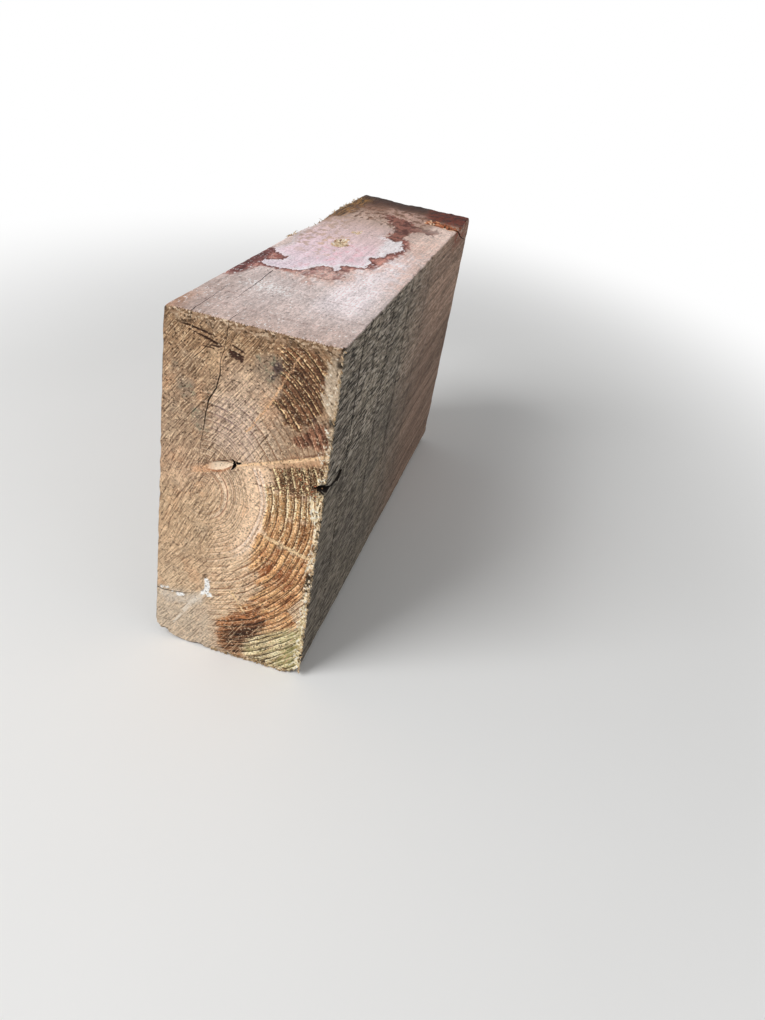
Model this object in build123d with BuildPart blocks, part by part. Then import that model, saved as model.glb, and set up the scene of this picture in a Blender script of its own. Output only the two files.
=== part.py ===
"""A short length of old sawn timber: one solid, with its worn arrises and its drying checks.

Millimetres. X runs across the beam, Y along it with the weathered cross-cut end at -Y, and
Z up. The origin is at the middle of the underside. "Drop" is a depth below the top face.
"""

from build123d import *
import os
from math import hypot, radians, sqrt, tan

# Size of the piece
width = 140
height = 310
length = 530

# Long arrises of the section
top_left_round = 4
top_right_round = 1.5
bottom_right_wane = 15
bottom_left_round = 5
underside_rise = 8.5
underside_rise_width = 30
underside_bend_round = 60

# Wear on the arrises of both ends
end_ease = 0.8

# Heart of the log on the cross-cut end, from the left side
pith_x = 34
pith_drop = 138

# Main drying check: from the top face down to the heart
main_check_x = 51.5
main_check_opening = 1.2
main_check_depth = 58
main_check_waves = [(0.16, 0.8), (0.31, 1.5), (0.47, -2.8), (0.62, -3.2), (0.76, -3.0)]

# Check in the right side that opens as a notch on the end
side_check_drop = 119
side_check_length = 47
side_check_depth = 13
side_check_notch = 8
side_check_neck = 2.2
side_check_belly = 5

# Checks along the top face: across, start and end from the front, opening
top_checks = [(21, 0, 68, 0.7), (34.5, 46, 136, 0.9)]
top_check_lean = 3
top_check_depth = 16

# Split at the far right corner of the top
far_split_from_end = 93
far_split_run = 70
far_split_drop = 22
far_split_opening = 1.8
far_split_depth = 14

# Short check near the foot of the cross-cut end
foot_check_rise = 53.5
foot_check_length = 40
foot_check_climb = 6
foot_check_opening = 1.0
foot_check_depth = 18

# Torn-out sliver of the branch, and the small hole at its tip
sliver_length = 29
sliver_height = 6.8
sliver_depth = 1.8
sliver_x = 50.5
sliver_drop = 120
sliver_slope = 21
tip_hole_size = 3.4
tip_hole_depth = 10

# Torn stretches of the arrises: side (-1 left, 1 right), middle from the front, length, depth
arris_tears = [(-1, 345, 165, 5.0), (-1, 215, 70, 1.6), (1, 303, 16, 2.2), (1, 243, 12, 1.4)]

overcut = 2


def across(x):
    return x - width / 2


def along(y):
    return y - length / 2


def split_outline(route, openings):
    """Closed outline of a check: each point of its route, moved half its opening to both sides."""
    near, far = [], []
    last = len(route) - 1
    for i, ((x, y), opening) in enumerate(zip(route, openings)):
        before = route[max(i - 1, 0)]
        after = route[min(i + 1, last)]
        run = hypot(after[0] - before[0], after[1] - before[1])
        side = (-(after[1] - before[1]) / run, (after[0] - before[0]) / run)
        near.append((x + side[0] * opening / 2, y + side[1] * opening / 2))
        far.append((x - side[0] * opening / 2, y - side[1] * opening / 2))
    return near + far[::-1]


def shrunk(route, share, about):
    """The same route at the check's floor: drawn towards the point of the route given by about."""
    cx, cy = route[about]
    return [(cx + (x - cx) * share, cy + (y - cy) * share) for x, y in route]


def check_wedge(face, route, openings, depth, reach, about=0, floor_opening=0.25):
    """Wedge that cuts a check: wide on the face, narrow and shorter at its floor."""
    with BuildPart() as wedge:
        with BuildSketch(face.offset(overcut)):
            Polygon(*split_outline(route, openings), align=None)
        floor = shrunk(route, reach, about)
        with BuildSketch(face.offset(-depth)):
            Polygon(*split_outline(floor, [o * floor_opening for o in openings]), align=None)
        loft(ruled=True)
    return wedge.part


# Faces that the checks open on: the plane's own z points out of the timber
front_face = Plane.XZ.offset(length / 2)
top_face = Plane.XY.offset(height)
right_face = Plane(origin=(width / 2, 0, 0), x_dir=(0, 1, 0), z_dir=(1, 0, 0))

# Main check: a wavy line from above the top face to the heart
start = (across(main_check_x), height + overcut)
heart = (across(pith_x), height - pith_drop)
main_route = [start]
for share, shift in main_check_waves:
    x = start[0] + (heart[0] - start[0]) * share + shift
    main_route.append((x, start[1] + (heart[1] - start[1]) * share))
main_route.append(heart)
main_openings = [main_check_opening * o for o in (0.55, 0.6, 1.0, 0.95, 0.75, 0.4, 0.25)]
main_check = check_wedge(front_face, main_route, main_openings, main_check_depth, reach=0.3)

# Check in the right side, from the notch on the end back to its tip
side_route = [
    (along(-overcut), height - side_check_drop + 3),
    (along(0), height - side_check_drop + 3),
    (along(side_check_length * 0.2), height - side_check_drop),
    (along(side_check_length * 0.8), height - side_check_drop - 1),
    (along(side_check_length), height - side_check_drop - 1),
]
side_openings = [side_check_notch, side_check_notch, side_check_neck, side_check_belly, 0.8]
side_check = check_wedge(right_face, side_route, side_openings, side_check_depth, reach=0.8)

# Checks along the top face
top_cuts = []
for x, near, far, opening in top_checks:
    open_end = near == 0
    near_y = along(near) - (overcut if open_end else 0)
    middle_y = (near_y + along(far)) / 2
    route = [
        (across(x) + top_check_lean / 2, near_y),
        (across(x), middle_y),
        (across(x) - top_check_lean / 2, along(far)),
    ]
    openings = [opening if open_end else opening / 4, opening, opening / 4]
    about = 0 if open_end else 1
    top_cuts.append(check_wedge(top_face, route, openings, top_check_depth, reach=0.6, about=about))

# Split that runs down from the top arris near the far end
split_y = length / 2 - far_split_from_end
far_route = [
    (split_y - overcut * far_split_run / far_split_drop, height + overcut),
    (split_y + far_split_run * 0.5, height - far_split_drop * 0.6),
    (split_y + far_split_run, height - far_split_drop),
]
far_openings = [far_split_opening, far_split_opening, far_split_opening / 4]
far_split = check_wedge(right_face, far_route, far_openings, far_split_depth, reach=0.7)

# Short check at the foot of the end, rising from the left side
foot_route = [
    (across(-overcut), foot_check_rise),
    (across(foot_check_length * 0.5), foot_check_rise + foot_check_climb * 0.3),
    (across(foot_check_length), foot_check_rise + foot_check_climb),
]
foot_openings = [foot_check_opening, foot_check_opening, foot_check_opening / 3]
foot_check = check_wedge(front_face, foot_route, foot_openings, foot_check_depth, reach=0.6)

# Torn sliver: a lens on the slope of the branch, with the hole at its upper tip
with BuildPart() as sliver:
    with BuildSketch(front_face.offset(-sliver_depth)):
        with Locations(Location((across(sliver_x), height - sliver_drop), sliver_slope)):
            Ellipse(sliver_length / 2, sliver_height / 2)
    extrude(amount=sliver_depth + overcut)
    tip_x = across(sliver_x) + sliver_length / 2 * 0.9
    tip_z = height - sliver_drop + sliver_length / 2 * tan(radians(sliver_slope))
    with BuildSketch(front_face.offset(overcut)):
        with Locations((tip_x, tip_z)):
            RegularPolygon(tip_hole_size, 3, rotation=20)
    with BuildSketch(front_face.offset(-tip_hole_depth)):
        with Locations((tip_x, tip_z)):
            RegularPolygon(tip_hole_size * 0.4, 3, rotation=20)
    loft(ruled=True)

# Torn arrises: each is a shallow scoop, a drum of large radius laid across the arris
tears = []
for side, middle, chord, depth in arris_tears:
    drum_radius = chord**2 / (8 * depth) + depth / 2
    out = Vector(side, 0, 1) / sqrt(2)
    arris = Vector(side * width / 2, along(middle), height)
    corner_round = top_left_round if side < 0 else top_right_round
    worn_off = corner_round * (sqrt(2) - 1)
    centre = arris + out * (drum_radius - depth - worn_off)
    with BuildPart() as drum:
        with BuildSketch(Plane(origin=centre, x_dir=(0, 1, 0), z_dir=(side, 0, -1))):
            Circle(drum_radius)
        extrude(amount=4 * depth, both=True)
    tears.append(drum.part)

with BuildPart() as beam:
    with BuildSketch(Plane.XZ):
        with BuildLine():
            FilletPolyline(
                (-width / 2, height),
                (width / 2, height),
                (width / 2, 0),
                (-width / 2 + underside_rise_width, 0),
                (-width / 2, underside_rise),
                radius=[
                    top_left_round,
                    top_right_round,
                    bottom_right_wane,
                    underside_bend_round,
                    bottom_left_round,
                ],
                close=True,
            )
        make_face()
    extrude(amount=length / 2, both=True)
    ends = beam.faces().filter_by(Axis.Y)
    chamfer(ends.edges(), end_ease)
    for cut in [main_check, side_check, far_split, foot_check, sliver.part] + top_cuts + tears:
        add(cut, mode=Mode.SUBTRACT)

beam.part.label = "timber_beam"
os.makedirs("parts", exist_ok=True)
export_step(beam.part, "parts/timber_beam.step")
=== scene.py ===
"""Looks of a short weathered timber beam, laid out as a Blender add-on.

One closed skin stands for the beam: six grids, one for each face, stitched along the arrises,
with relief worked out in numpy and the drying checks cut into it. Torn fibres and crumbs are a
second piece. Shapes are worked out in millimetres, in the beam's own places: "across" from its
left side, "along" from its weathered end, "rise" from its underside, "drop" below its top face.
Colours in the materials are written as they are seen, 0 to 255 a channel.
"""

import math
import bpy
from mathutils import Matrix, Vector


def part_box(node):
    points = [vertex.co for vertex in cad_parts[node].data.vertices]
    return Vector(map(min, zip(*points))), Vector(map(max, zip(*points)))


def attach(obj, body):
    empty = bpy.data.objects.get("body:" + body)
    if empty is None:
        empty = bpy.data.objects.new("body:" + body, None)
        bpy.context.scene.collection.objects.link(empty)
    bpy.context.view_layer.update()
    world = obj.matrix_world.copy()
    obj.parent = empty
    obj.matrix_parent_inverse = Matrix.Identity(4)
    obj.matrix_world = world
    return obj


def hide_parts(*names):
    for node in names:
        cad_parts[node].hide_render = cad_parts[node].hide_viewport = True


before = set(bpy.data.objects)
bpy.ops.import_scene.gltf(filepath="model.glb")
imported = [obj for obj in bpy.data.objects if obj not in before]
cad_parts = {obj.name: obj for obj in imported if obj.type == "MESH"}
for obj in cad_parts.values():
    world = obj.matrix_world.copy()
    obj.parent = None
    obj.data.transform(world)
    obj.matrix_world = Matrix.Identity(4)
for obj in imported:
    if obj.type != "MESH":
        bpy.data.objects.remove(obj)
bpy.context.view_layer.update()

from types import SimpleNamespace

import bmesh
import bpy
import numpy as np
from mathutils import Euler, Vector

bl_info = {
    "name": "Weathered timber beam",
    "version": (1, 0, 0),
    "blender": (4, 5, 0),
    "location": "View3D > Sidebar > Timber",
    "description": "Builds a short squared timber with open checks, torn arrises and end grain",
    "category": "Add Mesh",
}

NODE = "timber_beam"
BODY = "root"
MM = 0.001
ORIGIN = (0.0, 0.0, 0.0)
WHITE = (1.0, 1.0, 1.0, 1.0)
LOW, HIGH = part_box(NODE)
WIDTH, LENGTH, HEIGHT = [(HIGH[i] - LOW[i]) / MM for i in range(3)]
SEED = 41

# Fewest faces that a cut skin can have, step of the cuts' walls in mm, half the side of the floor
# in m, width of the camera's frame in mm
LEAST_FACES = 1000
CUT_STEP = 2.2
FLOOR_HALF = 6.0
FRAME_WIDTH = 36.0


def srgb(red, green, blue):
    """A colour as it is seen, 0 to 255 a channel, as the linear values that Blender takes."""
    seen = np.array([red, green, blue]) / 255
    linear = np.where(seen <= 0.04045, seen / 12.92, ((seen + 0.055) / 1.055) ** 2.4)
    return tuple(float(v) for v in linear)


def linear(colour):
    """Three numbers of a colour as it is seen made linear; any other kind of colour as it is."""
    return srgb(*colour) if isinstance(colour, tuple) else colour


# Each face: the axis that it is square to, its side of the beam, its finish, and the steps of
# its grid in mm along the other two axes
FACES = {
    "front": (1, 0, "end_grain", (1.0, 1.0)),
    "far": (1, 1, "far_end_grain", (3.5, 3.5)),
    "right": (0, 1, "weathered_side", (3.2, 3.4)),
    "left": (0, 0, "weathered_side", (7.0, 6.0)),
    "top": (2, 1, "top_face", (2.0, 2.4)),
    "underside": (2, 0, "underside", (6.0, 8.0)),
}
FINISHES = ["end_grain", "far_end_grain", "weathered_side", "top_face", "underside", "shaded_check_wood"]
INSET = 0.7
RELIEF_REACH = 4.0

# Long arrises of the section: right side or left, top or bottom, radius. The underside lifts to
# the left by a curve that UNDERSIDE_BEND makes slack at its start
ROUNDS = [(0, 1, 4.0), (1, 1, 1.5), (1, 0, 15.0), (0, 0, 5.0)]
UNDERSIDE_LIFT = 8.5
UNDERSIDE_LIFT_WIDTH = 30.0
UNDERSIDE_LIFT_HEIGHT = 60.0
UNDERSIDE_BEND = 0.12

# Worn arrises: the two faces, depth, size of the chips and reach over the faces
WORN = [
    ("front", "right", 3.4, 4.5, 6.0),
    ("front", "underside", 2.8, 5.0, 6.0),
    ("front", "left", 0.6, 6.0, 4.0),
    ("front", "top", 0.9, 5.0, 3.5),
    ("top", "right", 1.5, 7.0, 4.0),
    ("top", "left", 1.2, 8.0, 4.0),
    ("far", "top", 1.2, 11.0, 5.0),
    ("far", "right", 1.0, 11.0, 5.0),
    ("far", "left", 1.5, 11.0, 5.0),
    ("far", "underside", 1.5, 11.0, 5.0),
    ("underside", "right", 2.0, 9.0, 6.0),
    ("underside", "left", 2.0, 9.0, 6.0),
]
# Torn stretches of the long top arrises: the side face, middle and length along, depth
TEARS = [
    ("left", 345.0, 165.0, 5.0),
    ("left", 215.0, 70.0, 1.6),
    ("right", 303.0, 16.0, 2.2),
    ("right", 243.0, 12.0, 1.4),
]

# Outlines and routes are lists of places, with a comma in each place and spaces between them.
# Weathered end, places as across,drop
HEART = (38.0, 148.0)
RING_STRETCH = 1.2
RING_PITCH = 5.5
BRANCH = "20,130.5 33,126.5 66,115.5 100,102 142,84.5"
SLIVER = (50.5, 120.0)
SLIVER_HALF = (14.5, 3.6)
SLIVER_SLOPE = 21.0
GOUGES = [
    ("13,11.2 20,11.8 30,13.2 42.5,15.6", 0.22, 0.5),
    ("18,11.6 26,12.6 36,14.3", 0.42, 0.9),
    ("21,14.4 34,17.8 47.5,21.8", 0.25, 0.6),
    ("31,17 38,18.9 45,21", 0.5, 0.9),
    ("40,22.4 46,23", 0.35, 0.4),
    ("29,25.2 38,24.6 47,24", 0.12, 0.3),
    ("55.5,18.8 60,20.4 65,22.4", 0.4, 0.6),
    ("53.5,23 59,24.4 64.4,26", 0.5, 1.0),
    ("54,25.2 59,26.6 64,28", 0.8, 0.6),
    ("55,27.6 60,28.8 64,29.8", 0.25, 0.4),
]
# Lines on the end: half width, routes
LINES = {
    "pale_line": (1.7, ["69,238 76,247 83,257",
                        "94,172.6 106,176 120,179 138,183.6",
                        "94,174 106,177.2 120,180.4 138,185"]),
    "pale_gap": (2.2, ["106,16 103.6,21 101.6,27 98.4,31 97.4,36 94.4,41 92.6,47 88.4,55 84.8,63 79.2,71 "
                       "75.6,79 71,85"]),
    "pale_streak": (1.6, ["45,250 36,262 27,276 18,291",
                          "43,251 35,260 29,270 24,278"]),
    "dark_line": (1.1, ["79,126.8 92,127.6 110,127.6 137,127",
                        "111,57 119,66 126,58"]),
    "faint_line": (0.9, ["33,129.5 42,127.3 60,126.6 80,127.4",
                         "66,55 77,76",
                         "85,67 95,83",
                         "31,138 27.8,149 29.5,161",
                         "36,160 38,182 40,206 45,231"]),
}
# Saw marks on the end, in three fields from the top down: their pitch, and their angle in degrees
SAW_FIELDS = [(0.85, 54), (1.2, 65), (1.3, 54)]

# Edges of the growth rings, by the size of the ring
RING_EDGES = [0.0, 5.0, 8.4, 12.0, 15.3, 18.8, 22.0, 25.4, 28.6, 32.0, 35.4, 38.8, 42.0, 45.2, 49.5, 54.6,
              60.5, 66.0, 72.7, 79.4, 84.9, 89.6, 94.1, 98.4, 103.2, 108.8, 113.6, 117.9, 121.0, 124.0,
              127.4, 130.8, 136.2, 141.8, 146.0, 150.5, 155.0, 160.0]
# Single ring lines close to the heart and further out, by the size of the ring, and their colours
NEAR_LINES = [(16.6, 17.6, (160, 112, 84)), (19.0, 21.2, (244, 214, 184)),
              (21.4, 22.3, (158, 98, 72)), (26.5, 27.2, (166, 122, 94))]
PALE_LINES = [(49.0, 49.8, (158, 116, 92)), (50.0, 52.2, (248, 224, 204)),
              (52.5, 53.3, (170, 128, 106)), (53.6, 55.8, (246, 220, 200))]

# Each stain: two ground colours, the colour of its ring lines, that of its dots, their share, and
# the strengths of the lines and of the streaks
STAIN_COLOURS = {
    "brown_upper": ((62, 34, 22), (146, 98, 68), (28, 16, 10), (248, 216, 162), 0.8, 0.9, 0.35),
    "brown_middle": ((88, 48, 35), (168, 116, 88), (44, 23, 15), (226, 188, 154), 0.5, 0.9, 0.3),
    "straw_middle": ((150, 103, 60), (222, 175, 120), (76, 47, 25), (255, 238, 198), 1.4, 0.9, 0.8),
    "orange_upper": ((158, 100, 56), (226, 176, 124), (84, 49, 26), (250, 226, 180), 0.8, 0.9, 0.8),
    "crescent": ((150, 82, 42), (246, 194, 136), (84, 45, 22), (252, 222, 180), 0.2, 0.8, 0.55),
    "purple": ((104, 57, 35), (196, 129, 82), (46, 26, 16), (236, 196, 154), 0.3, 1.0, 0.9),
    "purple_core": ((52, 31, 22), (118, 75, 51), (28, 18, 12), (214, 168, 126), 0.2, 1.0, 0.9),
    "olive": ((160, 134, 86), (242, 226, 182), (58, 40, 22), (255, 246, 216), 0.5, 1.0, 0.9),
    "speckled": ((72, 39, 25), (162, 116, 80), (28, 15, 9), (254, 232, 182), 1.6, 0.35, 0.5),
}

# How ragged and how soft the outline of each stain is, in mm, in the order in which they lie
STAIN_EDGES = {"brown_upper": (30.0, 1.6), "brown_middle": (18.0, 1.6), "straw_middle": (24.0, 3.0),
               "orange_upper": (22.0, 2.0), "crescent": (28.0, 2.4), "purple": (30.0, 3.0),
               "purple_core": (34.0, 6.0), "olive": (30.0, 5.0), "speckled": (22.0, 1.6)}

# Stains of the weathered end: outlines as across,drop. The scribble is worn-in dirt, in two places.
END_STAINS = {
    "brown_upper": ["96,7 91,15 88,26 94,36 94,46 88,56 101,70 112,75 118,69 124,60 133,52 126,38 129,28 "
                    "127,16 118,8 105,5"],
    "brown_middle": ["108,78 117,70 128,61 135,62 138,76 138,81 118,86 108,84"],
    "speckled": ["99,108 113,101 127,97 138,94 138,111 137,127 112,129 95,128"],
    "straw_middle": ["93,129 112,127 136,127 136,151 122,150 108,153 95,152"],
    "orange_upper": ["96,150 108,152 124,148 135,150 138,184 118,179 105,176 94,173.5 93,160"],
    "crescent": ["90,173 134,184.5 137,200 131,222 122,240 133,256 128,266 106,274 94,290 84,304 68,305 "
                 "61,296 60,275 72,258 86,240 96,226 89,215 84,200"],
    "purple": ["62,270 78,258 96,250 106,262 100,280 92,300 80,309 64,304 58,288"],
    "purple_core": ["64,284 76,274 88,266 100,262 102,278 92,298 80,308 64,305"],
    "olive": ["92,283 104,268 120,262 134,258 142,244 143,305 120,314 92,312 86,300"],
    "smear": ["3,257 20,259 34,255 43,251 45,257 34,267 12,269 3,264"],
    "scribble": ["33,181 48,180 51,190 43,197 34,191",
                 "51.5,22.5 58,23.5 65,26 64.5,29.5 58,28.5 52,26.5"],
    "grey_foot": ["-3,256 14,254 41,250 46,262 52,280 56,312 -3,312"],
    "grey_smudges": ["74,22 82,17 95,20 93,37 84,40 74,34",
                     "16,52 26,54 29,66 20,69 14,60",
                     "27,74 38,78 40,92 34,96 27,86",
                     "9,43 13,42.5 13.5,47 9.5,47"],
    "pale_lens": ["38,24 46,22 47,33 46,44 40,46 36,36"],
    "blue_spots": ["88,24 93,23 95,28 91,31 87,29",
                   "86,34 90,33 91,37 87,38",
                   "121,58 125,58 125,62 121,62"],
    "plaster": ["47,232 50,234 51,241 49,246 53,250 49,250.5 46,248 43,251 42.5,247 46,243 45,237",
                "4,254.5 12,253 13,254.5 5,257",
                "20,257 29,255.5 26,259 21,260",
                "14,257 17,256.5 16,259"],
}

# Stains of the top face: outlines as across,along
TOP_STAINS = {
    "pale_patch": ["15,149 22,147 32,148 42,150 52,158 56,166 56,174 62,185 70,184 76,175 77,184 75,193 "
                   "79,202 88,205 94,206 95,228 88,243 93,249 97,258 98,270 104,281 108,298 104,311 "
                   "103,320 97,336 92,325 84,340 79,330 78,352 82,366 80,378 66,394 40,400 20,392 8,380 "
                   "5,340 4,262 9,246 13,230 8,217 8,200 16,190 26,187 27,173 14,162"],
    "dark_rim": ["-3,96 8,100 14,122 17,141 36,143 58,144 80,147 87,158 84,180 88,198 99,206 104,232 "
                 "107,262 112,290 110,318 105,342 88,345 60,330 50,230 40,175 34,190 20,196 -3,206"],
    "brown_stain": ["52,441 58,446 68,441 82,436 92,422 104,412 118,418 126,420 122,402 120,386 106,394 "
                    "98,384 97,352 94,326 84,333 79,350 82,372 76,392 66,408 58,424"],
    "orange_crumbs": ["98,450 102,468 112,470 118,461 138,452 141,440 128,437 112,442 102,444"],
    "white_lobe": ["90,262 98,262 104,281 108,298 104,311 103,320 97,338 90,330 84,318 86,296"],
    "torn_yellow": ["44,264 47,256 55,257 58,270 54,280 52,291 46,291 43,278"],
    "torn_small": ["47,323 53,321 56,331 52,338 47,334"],
}

# Upright saw cuts of the right side: place along, half width of the shade and its strength. The
# faint ones are shades alone.
SAW_CUTS = [(54.0, 2.8, 0.9), (147.0, 5.0, 0.6), (216.0, 6.5, 0.55)]
FAINT_CUTS = [(96.0, 3.0, 0.4), (114.0, 3.0, 0.4), (302.0, 7.0, 0.3)]

# Drying checks: face, route on that face, openings and depths at the route's start, middle and end,
# and any bellies: middle along the route, reach and extra opening
CHECKS = [
    ("front", "51.5,-2 51.2,6 50.6,14 49.5,24", (0.6, 0.45, 0.3), (46, 40, 34)),
    ("front", "49.5,23 47,33 47.6,43 45,55 40.5,65 38,77 37.5,85 36.5,93", (0.3, 1.15, 0.6), (34, 22, 5)),
    ("front", "36.4,94 35,106 34,122 34.5,138", (0.5, 0.3, 0.15), (4, 3, 2)),
    ("front", "44.6,57 39.5,64 35,69 28,78 19,89 13,96", (0.45, 0.4, 0.2), (6, 4, 2)),
    ("front", "38,21.5 30,31 20,42", (0.7, 0.6, 0.15), (2, 3, 2)),
    ("front", "20.5,-2 20,4 18,12", (0.5, 0.35, 0.15), (6, 4, 2)),
    ("front", "-2,256.3 6,258 17,256.5 28,254.5 39,251", (0.9, 0.6, 0.25), (18, 14, 4)),
    ("front", "-2,290.5 15,290 34,288.5", (0.4, 0.3, 0.15), (5, 4, 2)),
    ("front", "62,110.8 64.8,113 64.4,116.6 61.6,120.6", (1.0, 3.2, 0.9), (4, 10, 4)),
    ("front", "65,112.6 67.6,113.8 70.4,111.8", (2.0, 2.4, 0.6), (6, 7, 3)),
    ("front", "46,117.6 54,114.2 62,111.6", (0.2, 0.9, 0.8), (2, 3, 4)),
    ("top", "22.4,-2 21.5,30 18.8,74", (0.6, 0.45, 0.2), (12, 9, 3)),
    ("top", "36.6,47 34.6,90 32,136", (0.25, 0.6, 0.9), (4, 15, 6)),
    ("right", "-2,116.2 3,116.6 8,117.4 16,118.6 26,119.2 36,120.4 42,120.4 47,120.8",
     (3.0, 3.0, 1.8), (12, 14, 8), (1.0, 6.0, 12.0), (40.0, 6.5, 8.0)),
    ("right", "48,121.8 70,123.5 100,125 135,126", (0.9, 0.5, 0.2), (5, 3, 2)),
    ("right", "434,-2 450,4 470,11 490,18 509,22", (1.9, 1.6, 0.5), (14, 11, 4)),
]


def pairs(text):
    """Places of an outline or a route, from text with a comma in each place and spaces between."""
    return np.array([place.split(",") for place in text.split()], float)


def columns(*values):
    """Lists of numbers side by side, as the columns of one array."""
    return np.stack(values, axis=1)


def unit(vector):
    """The vector over its own length."""
    return np.asarray(vector, float) / np.linalg.norm(vector)


def smooth(value, low, high):
    """0 below low, 1 above high, and 3t^2 - 2t^3 between them."""
    t = np.clip((value - low) / (high - low), 0, 1)
    return t * t * (3 - 2 * t)


def lattice_random(cells, seed):
    """A random number from 0 to 1 for each lattice cell: its three whole numbers times large odd
    numbers, mixed by shifts and exclusive or."""
    mixed = cells[:, 0] * 374761393 + cells[:, 1] * 668265263 + cells[:, 2] * 1103515245
    mixed = (mixed + seed * 1274126177) & 0xFFFFFFFF
    mixed = ((mixed ^ (mixed >> 13)) * 1274126177) & 0xFFFFFFFF
    mixed = ((mixed ^ (mixed >> 15)) * 668265263) & 0xFFFFFFFF
    return ((mixed ^ (mixed >> 16)) & 0xFFFF) / 65535


def noise(points, cell, seed=0):
    """Smooth noise from -1 to 1: random values on a lattice of the given cell size, blended over
    each cell by 3t^2 - 2t^3 in each direction."""
    place = points / np.asarray(cell, float)
    cells = np.floor(place).astype(np.int64)
    t = place - cells
    t = t * t * (3 - 2 * t)
    total = np.zeros(len(points))
    for corner in np.ndindex(2, 2, 2):
        weight = np.prod(np.where(corner, t, 1 - t), axis=1)
        total += weight * lattice_random(cells + corner, SEED + seed)
    return 2 * total - 1


def inside_distance(points, outline):
    """Signed distance in mm from each point to a closed outline, positive inside. It is the least
    distance to any edge, and a point is inside when a ray from it crosses an odd number of edges."""
    start = pairs(outline)
    end = np.roll(start, -1, axis=0)
    least = np.full(len(points), 1e9)
    inside = np.zeros(len(points), bool)
    for (ax, ay), (bx, by) in zip(start, end):
        px, py = points[:, 0] - ax, points[:, 1] - ay
        ex, ey = bx - ax, by - ay
        share = np.clip((px * ex + py * ey) / (ex * ex + ey * ey), 0, 1)
        least = np.minimum(least, np.hypot(px - share * ex, py - share * ey))
        if by != ay:
            crossed = (ay > points[:, 1]) != (by > points[:, 1])
            inside ^= crossed & (px < py * ex / ey)
    return np.where(inside, least, -least)


def line_distance(points, route):
    """Distance in mm from each point to an open route: the least distance to any of its runs."""
    route = pairs(route)
    least = np.full(len(points), 1e9)
    for (ax, ay), (bx, by) in zip(route[:-1], route[1:]):
        px, py = points[:, 0] - ax, points[:, 1] - ay
        ex, ey = bx - ax, by - ay
        share = np.clip((px * ex + py * ey) / (ex * ex + ey * ey), 0, 1)
        least = np.minimum(least, np.hypot(px - share * ex, py - share * ey))
    return least


def sliver_share(points):
    """How far each point is from the sliver's axis, 1 on its rim. The rim is a lens: its half height
    times one less the square of the place along the axis over the half length."""
    slope = math.radians(SLIVER_SLOPE)
    x, y = points[:, 0] - SLIVER[0], points[:, 1] - SLIVER[1]
    run = x * math.cos(slope) - y * math.sin(slope)
    side = x * math.sin(slope) + y * math.cos(slope)
    rim = SLIVER_HALF[1] * np.clip(1 - (run / SLIVER_HALF[0]) ** 2, 0.05, 1)
    return np.clip(np.abs(side) / rim, 0, 3)


def ring_radius(across, drop):
    """Size of the growth ring through each point: its distance from the heart, with the drop
    shortened by the ring's stretch."""
    return np.hypot(across - HEART[0], (drop - HEART[1]) / RING_STRETCH)


def graded(length, step, spots):
    """Places from inset to inset along a length. There is one place for each unit of the running
    total of a density, which is one over the step plus a bell at each spot."""
    fine = np.arange(INSET, length - INSET, 0.05)
    density = np.full(len(fine), 1 / step)
    for middle, reach, fine_step in spots:
        bell = np.exp(-(((fine - middle) / reach) ** 2))
        density += bell * max(0, 1 / fine_step - 1 / step)
    total = np.concatenate([[0], np.cumsum((density[1:] + density[:-1]) / 2)]) * 0.05
    count = int(round(total[-1]))
    return np.interp(np.linspace(0, total[-1], count + 1), total, fine)


def face_lines(name):
    """The two lists of places that a face's grid lines run at, finer near its arrises and cuts."""
    axis, _, _, steps = FACES[name]
    running = [i for i in range(3) if i != axis]
    size = (WIDTH, LENGTH, HEIGHT)
    lines = []
    for i, step in zip(running, steps):
        spots = [(0, 4, 1.2), (size[i], 4, 1.2)] if step < 5 else [(0, 8, 2.5), (size[i], 8, 2.5)]
        if name == "right" and i == 1:
            spots += [(place, 2.4, 0.8) for place, _, _ in SAW_CUTS]
        lines.append(graded(size[i], step, spots))
    return lines


def zipper(first, first_at, second, second_at):
    """Triangles between two rows of vertices that run side by side. Both rows are walked at once,
    each time to whichever next vertex comes first along the arris."""
    at = np.concatenate([first_at[1:], second_at[1:]])
    order = np.argsort(at, kind="stable")
    on_first = order < len(first) - 1
    i = np.cumsum(on_first)
    j = np.cumsum(~on_first)
    before = np.where(on_first, first[i - 1], second[j - 1])
    return columns(first[i], second[j], before)


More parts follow.
